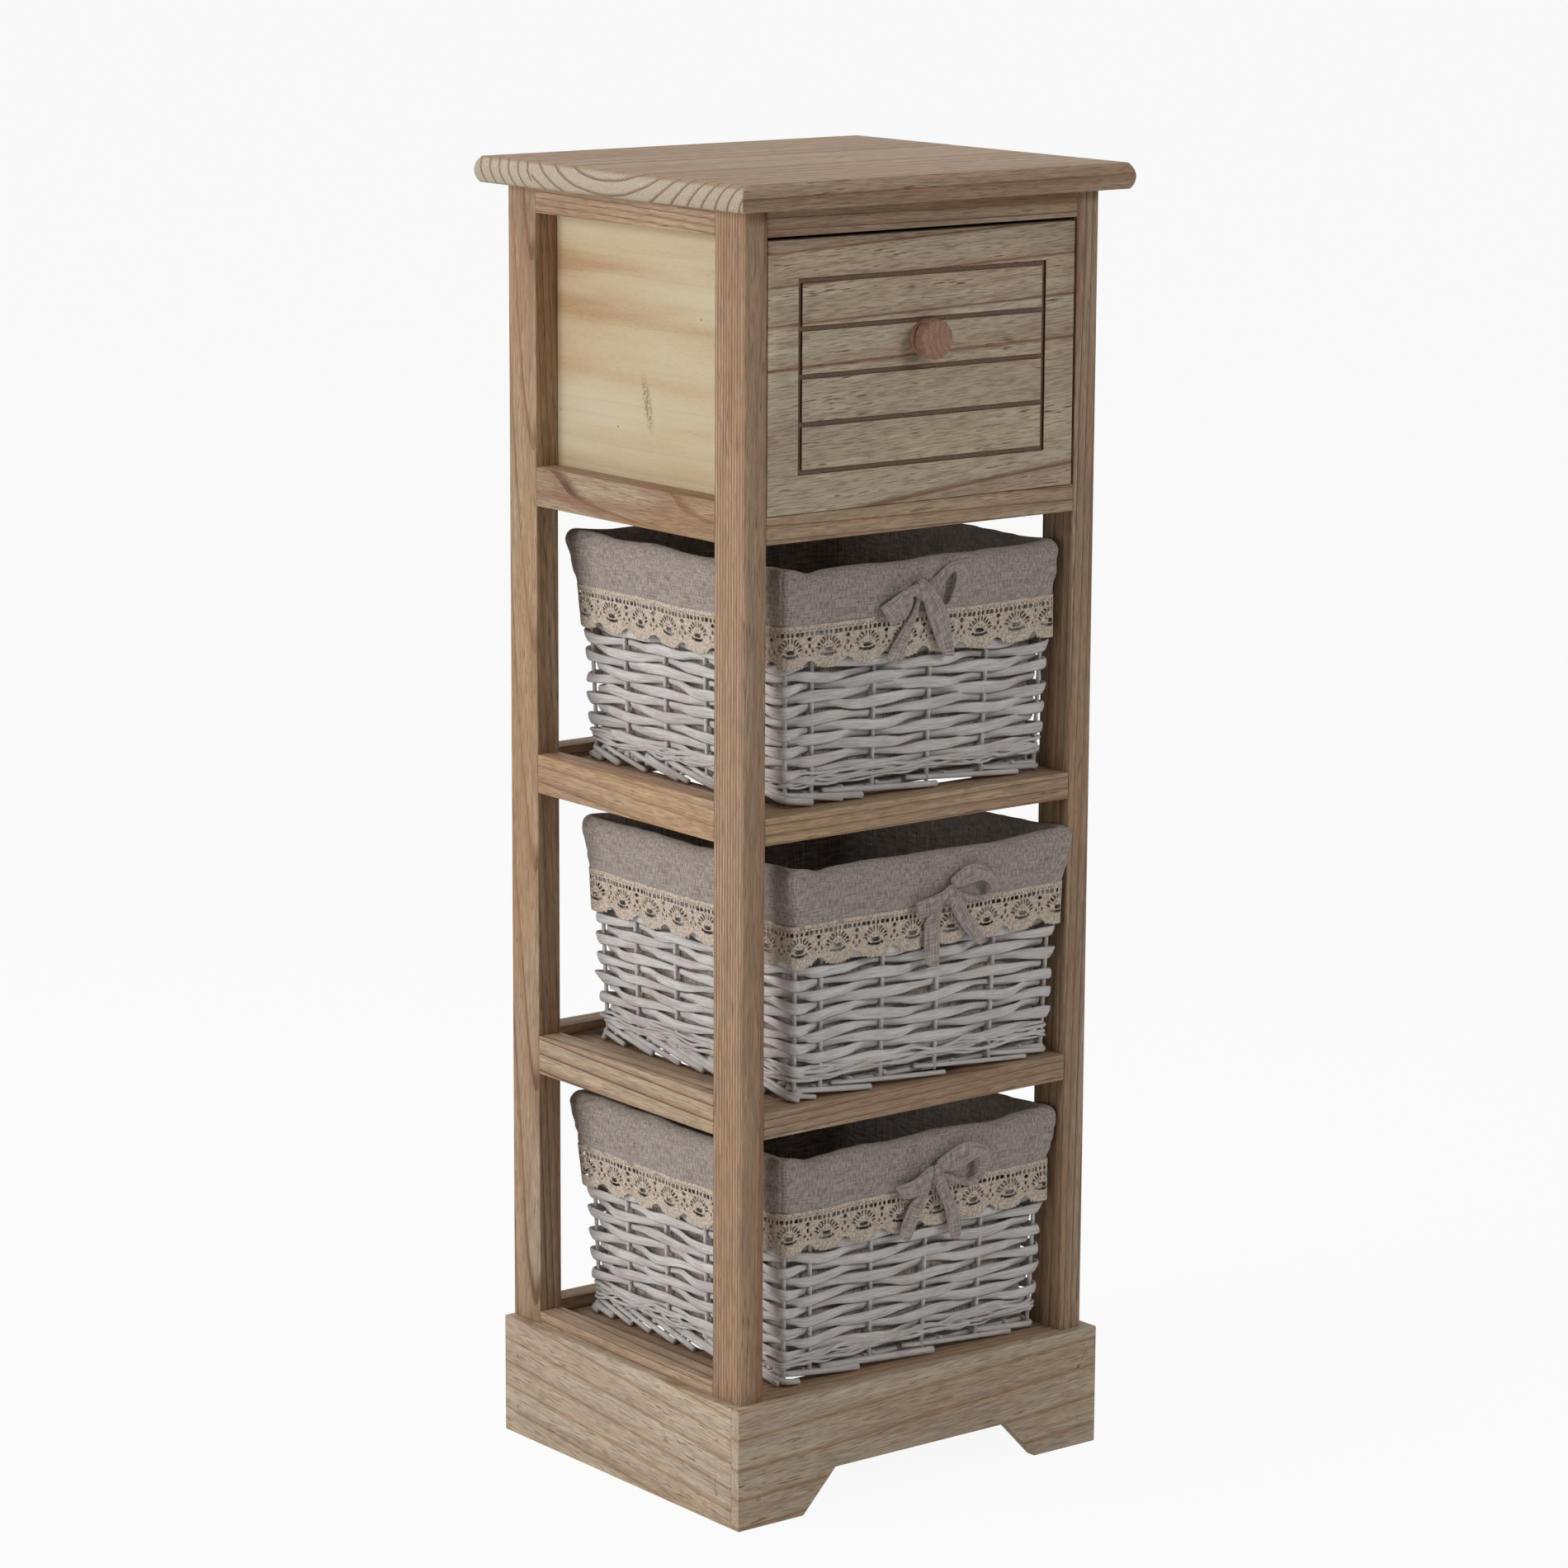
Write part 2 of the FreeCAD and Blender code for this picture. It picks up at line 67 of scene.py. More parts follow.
def node(tree, kind, values=None, **options):
    """Adds a shader node; values fill its sockets with numbers or with links from other sockets."""
    made = tree.nodes.new("ShaderNode" + kind)
    for name, option in options.items():
        setattr(made, name, option)
    for name, value in (values or {}).items():
        if isinstance(value, bpy.types.NodeSocket):
            tree.links.new(value, made.inputs[name])
        else:
            made.inputs[name].default_value = value
    return made


def aimed_lamp(name, place, aim, size, power):
    """A square soft lamp at a place, turned to face a point."""
    lamp = bpy.data.lights.new(name, "AREA")
    lamp.shape = "SQUARE"
    lamp.size = size
    lamp.energy = power
    holder = bpy.data.objects.new(name, lamp)
    holder.location = place
    holder.rotation_euler = (Vector(place) - Vector(aim)).to_track_quat("Z", "Y").to_euler()
    bpy.context.collection.objects.link(holder)


def white_to_the_eye(tree, lit, strength):
    """Mixes a shader with plain white light that only the eye and clear reflections meet."""
    path = node(tree, "LightPath")
    seen = node(tree, "Math", {0: path.outputs["Is Camera Ray"], 1: path.outputs["Is Glossy Ray"]},
                operation="MAXIMUM")
    white = node(tree, "Emission", {"Color": (1, 1, 1, 1), "Strength": 1.0})
    share = node(tree, "Math", {0: seen.outputs[0], 1: strength}, operation="MULTIPLY")
    return node(tree, "MixShader", {0: share.outputs[0], 1: lit, 2: white.outputs[0]}).outputs[0]


scene = bpy.context.scene
scene.view_settings.view_transform = "Standard"

camera = bpy.data.objects.new("camera", bpy.data.cameras.new("camera"))
camera.data.lens = camera_lens
camera.data.sensor_width = 36.0
camera_up = camera_back.cross(camera_right)
rolled_right = camera_right * math.cos(camera_roll) + camera_up * math.sin(camera_roll)
rolled_up = camera_up * math.cos(camera_roll) - camera_right * math.sin(camera_roll)
facing = Matrix((rolled_right, rolled_up, camera_back)).transposed()
camera.matrix_world = Matrix.Translation(camera_place) @ facing.to_4x4()
scene.collection.objects.link(camera)
scene.camera = camera

aimed_lamp("side_light", **side_light)
aimed_lamp("front_light", **front_light)
aimed_lamp("top_light", **top_light)

world = bpy.data.worlds.new("surround")
world.use_nodes = True
scene.world = world
surround = world.node_tree.nodes["Background"]
surround.inputs["Color"].default_value = (1, 1, 1, 1)
surround.inputs["Strength"].default_value = surround_strength
world_out = world.node_tree.nodes["World Output"]
bright = white_to_the_eye(world.node_tree, surround.outputs[0], 1.0)
world.node_tree.links.new(bright, world_out.inputs["Surface"])

floor_mesh = bmesh.new()
bmesh.ops.create_circle(floor_mesh, cap_ends=True, segments=64, radius=floor_reach)
floor = bpy.data.objects.new("floor", bpy.data.meshes.new("floor"))
floor_mesh.to_mesh(floor.data)
floor_mesh.free()
scene.collection.objects.link(floor)
floor_look = bpy.data.materials.new("floor")
floor_look.use_nodes = True
floor_look.node_tree.nodes.clear()
paper = node(floor_look.node_tree, "BsdfDiffuse", {"Color": (0.86, 0.86, 0.86, 1)})
floor_out = node(floor_look.node_tree, "OutputMaterial")
bright = white_to_the_eye(floor_look.node_tree, paper.outputs[0], 0.93)
floor_look.node_tree.links.new(bright, floor_out.inputs["Surface"])
floor.data.materials.append(floor_look)

# Top board: strips of pale open-grained timber glued edge to edge, sawn to size and moulded on all edges.
# The grain runs from left to right, so both ends show arcs of growth rings on paler, drier wood.
wood_light = tint(184, 161, 135)
wood_mid = tint(161, 132, 107)
wood_dark = tint(106, 76, 55)
wood_red = tint(150, 107, 82)
wood_gold = tint(184, 146, 106)
wood_pore = tint(88, 63, 46)
end_light = tint(189, 175, 154)
end_ring = tint(132, 108, 84)
grain_turns = {"X": (0, 0, 0), "Y": (0, 0, 90), "Z": (0, -90, 0)}
arris = 0.0007


def look(name, roughness=0.6, **sockets):
    """A material with one principled shader, its plain sockets set, and its tree and shader."""
    material = bpy.data.materials.new(name)
    material.use_nodes = True
    shader = material.node_tree.nodes["Principled BSDF"]
    shader.inputs["Roughness"].default_value = roughness
    for socket, value in sockets.items():
        shader.inputs[socket.replace("_", " ")].default_value = value
    return material, material.node_tree, shader


def ramp(tree, share, stops):
    """Turns a share from 0 to 1 into a colour, or into grey where the stops are plain numbers."""
    made = node(tree, "ValToRGB", {"Fac": share})
    band = made.color_ramp
    for index, (place, colour) in enumerate(stops):
        stop = band.elements[index] if index < 2 else band.elements.new(place)
        stop.position = place
        stop.color = colour if isinstance(colour, tuple) else (colour, colour, colour, 1)
    return made.outputs["Color"]


def mix(tree, share, first, second, how="MIX"):
    """Blends two colours by a share."""
    blend = node(tree, "Mix", {0: share, 6: first, 7: second}, data_type="RGBA", blend_type=how)
    return blend.outputs[2]


def stretched(tree, where, scale):
    """The same place measured in other units along each axis, which draws a pattern out."""
    return node(tree, "Mapping", {"Vector": where, "Scale": scale}).outputs[0]


def speckle(tree, where, scale, detail=2.0, rough=0.5):
    """Plain cloudy noise: its Fac is one share, and its Color is three."""
    return node(tree, "TexNoise", {"Vector": where, "Scale": scale, "Detail": detail, "Roughness": rough})


def wood(name, grain, pith, ring=0.006, tilt=(0, 0), red=0.5, tone=1.0, wander=0.012, pore=0.75, late=0.14,
         light=wood_light, mid=wood_mid, dark=wood_dark, glued=None):
    """Solid timber: rings round a pith line along the grain, warm streaks, fibres and fine open pores.

    Glued timber takes its rings from a second pith line beyond its glue line.
    """
    material, tree, shader = look(name, 0.62, Specular_IOR_Level=0.3)
    turn = [math.radians(angle) for angle in grain_turns[grain]]
    turn[1] += math.radians(tilt[0])
    turn[2] += math.radians(tilt[1])
    place = node(tree, "TexCoord").outputs["Object"]
    if glued:
        line, second_pith = glued
        depth = node(tree, "SeparateXYZ", {0: place}).outputs["Y"]
        beyond = node(tree, "Math", {0: depth, 1: line}, operation="GREATER_THAN").outputs[0]
        pith = mix(tree, beyond, (*pith, 1), (*second_pith, 1))
    trunk = node(tree, "Mapping", {"Vector": place, "Location": pith, "Rotation": turn},
                 vector_type="TEXTURE").outputs[0]
    drawn = stretched(tree, trunk, (0.07, 1, 1))
    cloud = speckle(tree, drawn, 14, 2).outputs["Color"]
    lean = node(tree, "VectorMath", {0: cloud, 1: (0.5, 0.5, 0.5)}, operation="SUBTRACT").outputs[0]
    lean = node(tree, "VectorMath", {0: lean, "Scale": wander}, operation="SCALE").outputs[0]
    bent = node(tree, "VectorMath", {0: drawn, 1: lean}, operation="ADD").outputs[0]
    rings = node(tree, "TexWave", {"Vector": bent, "Scale": math.pi / 10 / ring}, wave_type="RINGS",
                 rings_direction="X", wave_profile="SAW").outputs["Fac"]
    colour = ramp(tree, rings, [
        (0.0, mid), (1.0, dark), (0.35, light), (1 - late, light), (1 - late * 0.4, dark),
    ])
    streaks = node(tree, "SeparateColor", {0: speckle(tree, drawn, 34, 3, 0.6).outputs["Color"]})
    for channel, warm, share in (("Red", wood_red, red), ("Green", wood_gold, red * 0.8)):
        streak = ramp(tree, streaks.outputs[channel], [(0.44, 0.0), (0.64, 1.0)])
        streak = node(tree, "Math", {0: streak, 1: share}, operation="MULTIPLY").outputs[0]
        colour = mix(tree, streak, colour, warm)
    coarse = speckle(tree, stretched(tree, trunk, (0.05, 1, 1)), 300, 3, 0.6).outputs["Fac"]
    colour = mix(tree, 1.0, colour, ramp(tree, coarse, [(0.34, 0.86), (0.66, 1.10)]), "MULTIPLY")
    fibre = speckle(tree, stretched(tree, trunk, (0.05, 1, 1)), 1100, 3, 0.65).outputs["Fac"]
    colour = mix(tree, 1.0, colour, ramp(tree, fibre, [(0.36, 0.82 * tone), (0.62, 1.12 * tone)]), "MULTIPLY")
    patch = ramp(tree, coarse, [(0.62, 0.45), (0.42, 1.0)])
    dash = speckle(tree, stretched(tree, trunk, (0.055, 1, 1)), 1500, 1).outputs["Fac"]
    dash = ramp(tree, dash, [(0.51, 0.0), (0.64, 1.0)])
    dash = node(tree, "Math", {0: dash, 1: patch}, operation="MULTIPLY").outputs[0]
    dash_share = node(tree, "Math", {0: dash, 1: pore}, operation="MULTIPLY").outputs[0]
    colour = mix(tree, dash_share, colour, wood_pore)
    tree.links.new(colour, shader.inputs["Base Color"])
    relief = node(tree, "Math", {0: fibre, 1: dash}, operation="SUBTRACT").outputs[0]
    bump = node(tree, "Bump", {"Height": relief, "Strength": 0.45, "Distance": 0.0004})
    tree.links.new(bump.outputs[0], shader.inputs["Normal"])
    return material, tree, shader, place, rings


def ended(made, axis, pith_tone=end_light):
    """Gives a wood its paler sawn ends with thin dark rings, where a face looks along the grain."""
    material, tree, shader, place, rings = made
    faces = node(tree, "TexCoord").outputs["Normal"]
    split = node(tree, "SeparateXYZ", {0: faces}).outputs[axis]
    end = node(tree, "Math", {0: split}, operation="ABSOLUTE").outputs[0]
    end = ramp(tree, end, [(0.7, 0.0), (0.8, 1.0)])
    sawn = ramp(tree, rings, [
        (0.0, pith_tone), (1.0, pith_tone), (0.72, pith_tone), (0.91, end_ring), (0.97, end_ring),
    ])
    spots = ramp(tree, speckle(tree, place, 900, 2).outputs["Fac"], [(0.35, 0.8), (0.6, 1.05)])
    sawn = mix(tree, 1.0, sawn, spots, "MULTIPLY")
    before = shader.inputs["Base Color"].links[0].from_socket
    tree.links.new(mix(tree, end, before, sawn), shader.inputs["Base Color"])
    return material


def dress(name, material, edge=arris):
    """Gives a part its material, and eases its sharp edges as sanding does."""
    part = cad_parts[name]
    part.data.materials.clear()
    part.data.materials.append(material)
    part.data.shade_smooth()
    weld = part.modifiers.new("joined", "WELD")
    weld.merge_threshold = 0.00002
    flatten = part.modifiers.new("flat_faces", "DECIMATE")
    flatten.decimate_type = "DISSOLVE"
    flatten.angle_limit = math.radians(1)
    ease = part.modifiers.new("eased", "BEVEL")
    ease.width = edge
    ease.segments = 2
    ease.limit_method = "ANGLE"
    ease.angle_limit = math.radians(35)
    ease.use_clamp_overlap = False
    ease.harden_normals = True
    return part


top_wood = wood(
    "top_wood", "X", (0, -0.175, 0.900), ring=0.0088, tilt=(-0.1, 0.3), red=0.4, tone=0.92, wander=0.007,
    late=0.12, pore=1.0, dark=tint(122, 93, 71), glued=(0.074, (0, -0.20, 0.86)),
)
dress("top_board", ended(top_wood, "X"))

# Posts: four square-cut uprights from the floor to the top, all one section, with the grain running up.
# Each is sawn from another place in the log, so its faces differ: fine lines, slanting streaks or plain.
post_saws = {
    "front_left": {"away": (0.02, 0.32), "ring": 0.0027, "tilt": (0.1, 0.2), "red": 0.35, "late": 0.55,
                   "wander": 0.002, "dark": tint(140, 103, 78)},
    "front_right": {"away": (-0.05, 0.02), "ring": 0.0042, "tilt": (1.2, -0.8), "red": 0.8, "tone": 0.87},
    "back_left": {"away": (0.05, -0.01), "ring": 0.0050, "tilt": (-2.2, 3.0), "red": 0.8, "tone": 0.89},
    "back_right": {"away": (0.03, 0.06), "ring": 0.0046, "tilt": (1.0, 1.4), "red": 0.6, "tone": 0.95},
}


def centre_of(name):
    """The middle of a part's box."""
    low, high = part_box(name)
    return (low + high) / 2


for corner, saw in post_saws.items():
    middle = centre_of("post_" + corner)
    away = saw.pop("away")
    made = wood("post_wood_" + corner, "Z", (middle.x + away[0], middle.y + away[1], 0), **saw)
    dress("post_" + corner, made[0])

# Rails: five levels between the posts. Front rails lie flat, the others stand on edge and form a lip.
# They are the same timber as the posts, with a redder and more mottled side rail under the drawer.
rail_seed = 7
rail_levels = ("top", "drawer", "upper", "middle", "lower")
rail_red = {"lower_left": 0.15, "drawer_left": 1.0, "top_front": 0.9, "upper_left": 0.8}
rail_tone = {"drawer_left": 0.88, "top_front": 0.84, "upper_left": 1.04, "middle_front": 0.95}
rail_pick = random.Random(rail_seed)
for level in rail_levels:
    for side in ("front", "back", "left", "right"):
        middle = centre_of(f"{level}_rail_{side}")
        along = "X" if side in ("front", "back") else "Y"
        off = [rail_pick.choice((-1, 1)) * rail_pick.uniform(0.02, 0.07) for _ in range(3)]
        off["XY".index(along)] = rail_pick.uniform(-1, 1)
        key = f"{level}_{side}"
        made = wood(
            f"rail_wood_{key}", along, [m + o for m, o in zip(middle, off)],
            ring=rail_pick.uniform(0.0035, 0.0065),
            tilt=(rail_pick.uniform(-1.5, 1.5), rail_pick.uniform(-2, 2)),
            red=rail_red.get(key, rail_pick.uniform(0.35, 0.65)), tone=rail_tone.get(key, 1.0),
        )
        dress(f"{level}_rail_{side}", made[0])

# Runners: flat strips glued inside the side rails, flush with the front rail, that carry drawer and baskets.
# They are thin offcuts of the same timber.
for level in rail_levels[1:]:
    for side in ("left", "right"):
        middle = centre_of(f"{level}_runner_{side}")
        line = (middle.x + rail_pick.uniform(-0.03, 0.03), 0, middle.z + rail_pick.uniform(0.02, 0.06))
        made = wood(f"runner_wood_{level}_{side}", "Y", line, ring=0.005, red=0.3, tone=0.97)
        dress(f"{level}_runner_{side}", made[0])

# Drawer-bay panels: thin pale plywood, its face veneer peeled, so it shows soft wide clouds and few lines.
# The grain runs from front to back, and a small cluster of bark marks shows low on the left panel.
ply_light = tint(206, 192, 163)
ply_mid = tint(199, 179, 145)
ply_warm = tint(181, 148, 112)
ply_mark = tint(112, 82, 58)
ply_mark_place = (-0.1185, -0.001, 0.669)
ply_mark_slant = math.radians(-14)


def veneer(name, grain, mark=None):
    """Peeled veneer: broad soft bands along the grain, fine lines, pinholes, and one old bud mark."""
    material, tree, shader = look(name, 0.55, Specular_IOR_Level=0.3)
    place = node(tree, "TexCoord").outputs["Object"]
    along = 0 if grain == "X" else 1

    def drawn(share):
        scale = [1.0, 1.0, 1.0]
        scale[along] = share
        return stretched(tree, place, scale)

    cloud = speckle(tree, drawn(0.09), 34, 3, 0.45).outputs["Fac"]
    colour = ramp(tree, cloud, [(0.40, ply_light), (0.66, ply_warm), (0.52, ply_mid)])
    lines = speckle(tree, drawn(0.02), 90, 2).outputs["Fac"]
    colour = mix(tree, 1.0, colour, ramp(tree, lines, [(0.47, 1.0), (0.53, 1.0), (0.5, 0.93)]), "MULTIPLY")
    fine = speckle(tree, drawn(0.12), 1300, 3, 0.6).outputs["Fac"]
    flecks = ramp(tree, fine, [(0.34, 1.05), (0.7, 0.86), (0.52, 1.0)])
    colour = mix(tree, ramp(tree, cloud, [(0.4, 0.3), (0.6, 1.0)]), colour,
                 mix(tree, 1.0, colour, flecks, "MULTIPLY"))
    holes = node(tree, "TexVoronoi", {"Vector": place, "Scale": 44}).outputs["Distance"]
    holes = ramp(tree, holes, [(0.02, 1.0), (0.045, 0.0)])
    if mark:
        near = node(tree, "Mapping", {"Vector": place, "Location": mark, "Rotation": (ply_mark_slant, 0, 0)},
                    vector_type="TEXTURE").outputs[0]
        near = stretched(tree, near, (1, 190, 46))
        reach = node(tree, "VectorMath", {0: near}, operation="LENGTH").outputs["Value"]
        dots = speckle(tree, place, 800, 2).outputs["Fac"]
        dots = ramp(tree, dots, [(0.44, 0.0), (0.53, 1.0)])
        fade = ramp(tree, reach, [(0.3, 1.0), (1.0, 0.0)])
        dots = node(tree, "Math", {0: dots, 1: fade}, operation="MULTIPLY").outputs[0]
        holes = node(tree, "Math", {0: dots, 1: holes}, operation="MAXIMUM").outputs[0]
    holes = node(tree, "Math", {0: holes, 1: 0.75}, operation="MULTIPLY").outputs[0]
    colour = mix(tree, holes, colour, ply_mark)
    tree.links.new(colour, shader.inputs["Base Color"])
    bump = node(tree, "Bump", {"Height": fine, "Strength": 0.15, "Distance": 0.0002})
    tree.links.new(bump.outputs[0], shader.inputs["Normal"])
    return material


dress("side_panel_left", veneer("left_veneer", "Y", ply_mark_place), 0.0002)
dress("side_panel_right", veneer("right_veneer", "Y"), 0.0002)
dress("back_panel", veneer("back_veneer", "X"), 0.0002)

# Plinth: three boards nailed round the feet. The front one laps the ends of the side boards, and its lower
# edge is cut away between two feet. These boards are flat-sawn and show wide slanting figure.
plinth_light = tint(197, 181, 159)
plinth_mid = tint(190, 172, 148)
plinth_dark = tint(167, 141, 113)
plinth_saws = {
    "front": {"grain": "X", "pith": (0.05, -0.16, 0.33), "ring": 0.019, "tilt": (-2.5, 1), "red": 0.3,
              "tone": 1.0},
    "left": {"grain": "Y", "pith": (-0.13, 0.0, -0.22), "ring": 0.015, "tilt": (-5, 2), "red": 0.25},
    "right": {"grain": "Y", "pith": (0.15, 0.0, 0.30), "ring": 0.016, "tilt": (3, 2), "red": 0.3},
}
for side, saw in plinth_saws.items():
    made = wood(
        "plinth_wood_" + side, saw.pop("grain"), saw.pop("pith"), late=0.16, pore=0.8, wander=0.022,
        light=plinth_light, mid=plinth_mid, dark=plinth_dark, **saw,
    )
    dress("plinth_" + side, made[0])

# Dowels and brads: fluted hardwood pegs hidden in the joints, and small headless nails set under the face.
steel = look("plain_steel", 0.45, Metallic=0.9, Base_Color=tint(150, 148, 146))[0]
peg_wood = wood("peg_wood", "X", (0, 0, -0.2), ring=0.003, red=0.1, tone=1.1)[0]
dress("dowels", peg_wood, 0.0003)
dress("plinth_brads", steel, 0.0001)

# Drawer: a solid front with a routed frame and four false slats, on a box of thin boards with a plywood
# bottom let into grooves. The routed lines cut through to darker, rougher wood, and painted shade darkens their
# walls.
drawer_wood = wood(
    "drawer_front_wood", "X", (-0.05, -0.045, 0.655), ring=0.017, tilt=(-3.0, 1.0), red=0.22, wander=0.014,
    late=0.09, pore=0.95, light=tint(197, 182, 159), mid=tint(182, 162, 139), dark=tint(134, 106, 82),
)
groove_floor = tint(124, 99, 80)
# Painted shade: the routed walls take a dark brown that stands for the shadow inside the narrow cut.
groove_wall_shade = tint(70, 46, 30)
groove_low = Vector((-0.0968, 0, 0.6362))
groove_high = Vector((0.0954, 0, 0.7540))
groove_lip = -0.1172


def routed(made):
    """Darkens the inside of the routed lines: rougher, darker wood on their floor, and painted shade on their
    walls.
    """
    material, tree, shader, place, rings = made
    spot = node(tree, "SeparateXYZ", {0: place})
    inside = node(tree, "Math", {0: spot.outputs["Y"], 1: groove_lip}, operation="GREATER_THAN").outputs[0]
    for axis, low, high in (("X", groove_low.x, groove_high.x), ("Z", groove_low.z, groove_high.z)):
        middle = (low + high) / 2
        reach = (high - low) / 2
        within = node(tree, "Math", {0: spot.outputs[axis], 1: middle, 2: reach}, operation="COMPARE")
        inside = node(tree, "Math", {0: inside, 1: within.outputs[0]}, operation="MULTIPLY").outputs[0]
    before = shader.inputs["Base Color"].links[0].from_socket
    rough = speckle(tree, place, 700, 2).outputs["Fac"]
    # Faces across the cut (its walls) take the painted shade; faces looking out of it (its floor) take the rough
    # wood's brown.
    faces = node(tree, "SeparateXYZ", {0: node(tree, "TexCoord").outputs["Normal"]}).outputs["Y"]
    cut = mix(tree, ramp(tree, node(tree, "Math", {0: faces}, operation="ABSOLUTE").outputs[0],
                         [(0.6, 0.0), (0.9, 1.0)]), groove_wall_shade, groove_floor)
    cut = mix(tree, 1.0, cut, ramp(tree, rough, [(0.3, 0.7), (0.7, 1.2)]), "MULTIPLY")
    tree.links.new(mix(tree, inside, before, cut), shader.inputs["Base Color"])
    return material


dress("drawer_front", routed(drawer_wood), 0.0003)
for side in ("side_left", "side_right", "back"):
    along = "X" if side == "back" else "Y"
    middle = centre_of("drawer_" + side)
    pith = middle + Vector((0.04, 0.04, -0.05))
    made = wood(f"drawer_{side}_wood", along, pith, ring=0.006, red=0.2, tone=1.05)
    dress("drawer_" + side, made[0])
dress("drawer_bottom", veneer("bottom_veneer", "X"), 0.0002)

# Knob: turned from pinkish close-grained wood, with a base ring, a groove and a round-edged head, and
# screwed on from inside the front.
knob_wood = wood(
    "knob_wood", "Y", (0.016, 0, 0.716), ring=0.0042, red=0.2, wander=0.006, pore=0.2, late=0.25,
    light=tint(166, 129, 107), mid=tint(158, 120, 98), dark=tint(150, 112, 91),
)
dress("knob", knob_wood[0], 0.0003)
dress("knob_screw", steel, 0.0002)

# Willow baskets: three of one make, each standing loose on its runners. Split rods, washed white, are woven
# in front of and behind round stakes; thin rods are twined round the foot and cut rods bound under it.
basket_levels = ("upper", "middle", "lower")
foot_width = 0.202
foot_depth = 0.198
foot_corner = 0.0045
foot_lap = 2 * (foot_width + foot_depth) + (2 * math.pi - 8) * foot_corner
wall_height = 0.1375
wall_growth = 0.004
wall_middle = -0.0025
stake_radius = 0.0014
front_stakes = (-0.0806, -0.033, 0.0104, 0.0549)
side_stakes = (-0.0615, -0.0205, 0.0205, 0.0615)
row_count = 18
row_pitch = 0.0066
first_row = 0.0195
weave_swing = 0.0024
row_wander = 0.0032
strip_thick = 0.0017
strip_height = 0.0060
strip_bulge = 0.0013
strip_unevenness = 0.0026
twine_count = 7
twine_low = 0.0128
twine_pitch = 0.0010
twine_wander = 0.0050
cross_pitch = 0.004
flat_steps = 0.86
base_half = 0.092
base_rod_radius = 0.0018
base_height = 0.0052
turn_up_from = 0.094
cross_rod_radius = 0.0019
cross_rod_height = 0.0064


@functools.cache
def hoop(share, corner=foot_corner):
    """A foot line drawn in by its corners' radius, and the way out, by the share of the way from mid-front."""
    flats = (foot_width - 2 * corner, foot_depth - 2 * corner)
    bend = math.pi / 2 * corner
    way = share % 1.0 * (2 * sum(flats) + 4 * bend) + flats[0] / 2
    side = 0
    while way > flats[side % 2] + bend:
        way -= flats[side % 2] + bend
        side += 1
    run = min(way, flats[side % 2])
    half = (foot_depth if side % 2 == 0 else foot_width) / 2 - corner
    angle = (way - run) / corner
    turn = Matrix.Rotation(math.pi / 2 * side, 3, "Z")
    core = Vector((run - flats[side % 2] / 2, -half, 0))
    away = Vector((math.sin(angle), -math.cos(angle), 0))
    return turn @ core, turn @ away


def around(share, out, rise, corner=foot_corner):
    """A point at a height, on the foot line grown outwards with its corners kept as tight."""
    core, away = hoop(share, corner)
    wide = 1 + out / (foot_width / 2 - corner)
    deep = 1 + out / (foot_depth / 2 - corner)
    return Vector((core.x * wide, core.y * deep, rise)) + away * corner


def paced(step):
    """Turns even steps round a basket into shares of the way that crowd at the corners."""
    flats = (foot_width - 2 * foot_corner, foot_depth - 2 * foot_corner)
    bend = math.pi / 2 * foot_corner
    side = int(step * 4)
    part = step * 4 - side
    way = sum(flats[s % 2] + bend for s in range(side)) - flats[0] / 2
    way += flats[side % 2] * min(1, part / flat_steps) + bend * max(0, part - flat_steps) / (1 - flat_steps)
    return way / foot_lap


def wrapped(mesh, along, across, place, spread=(1, 1), pace=float):
    """Adds a grid to a bmesh, puts its points where place(u, v) says, and joins edges that meet."""
    uv = mesh.loops.layers.uv.verify()
    made = bmesh.ops.create_grid(mesh, x_segments=along, y_segments=across, size=0.5, calc_uvs=True)["verts"]
    for face in {face for vert in made for face in vert.link_faces}:
        face.smooth = True
        for loop in face.loops:
            loop[uv].uv = (pace(loop[uv].uv[0]) * spread[0], loop[uv].uv[1] * spread[1])
    for vert in made:
        vert.co = place(pace(vert.co.x + 0.5), vert.co.y + 0.5)
    bmesh.ops.remove_doubles(mesh, verts=made, dist=0.000001)


def rod(mesh, path, radius, along, across=6, length=0.1):
    """Adds a round rod along path(u), with rounded cut ends."""
    points = [path(step / along) for step in range(along + 1)]

    def skin(u, v):
        step = min(round(u * along), along)
        ahead = points[min(step + 1, along)] - points[max(step - 1, 0)]
        across_way = Vector((0, 0, 1)) if abs(ahead.normalized().z) < 0.9 else Vector((0, 1, 0))
        side = ahead.cross(across_way).normalized()
        lift = side.cross(ahead).normalized()
        here = points[step]
        width = radius(u) if callable(radius) else radius
        if step in (0, along):
            here = here + ahead.normalized() * (width * 0.3 if step else -width * 0.3)
            width = 0
        elif step in (1, along - 1):
            here = points[0 if step == 1 else along]
        angle = math.tau * v
        return here + (side * math.cos(angle) + lift * math.sin(angle)) * width

    wrapped(mesh, along, across, skin, (length, 0.012))


def ring_skin(path, radius):
    """Where the points of a closed round strand lie, along path(u)."""
    def skin(u, v):
        ahead = path(u + 0.002) - path(u - 0.002)
        side = ahead.cross(Vector((0, 0, 1))).normalized()
        lift = side.cross(ahead).normalized()
        angle = math.tau * v
        return path(u) + (side * math.cos(angle) + lift * math.sin(angle)) * radius
    return skin


def finished(name, mesh, material, body, slot_name, *nodes):
    """Makes an object of a bmesh, gives it its material and ties it to the frame."""
    piece = bpy.data.objects.new(name, bpy.data.meshes.new(name))
    mesh.to_mesh(piece.data)
    mesh.free()
    scene.collection.objects.link(piece)
    piece.data.materials.append(material)
    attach(piece, body)
    if nodes:
        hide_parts(*nodes)
    return piece


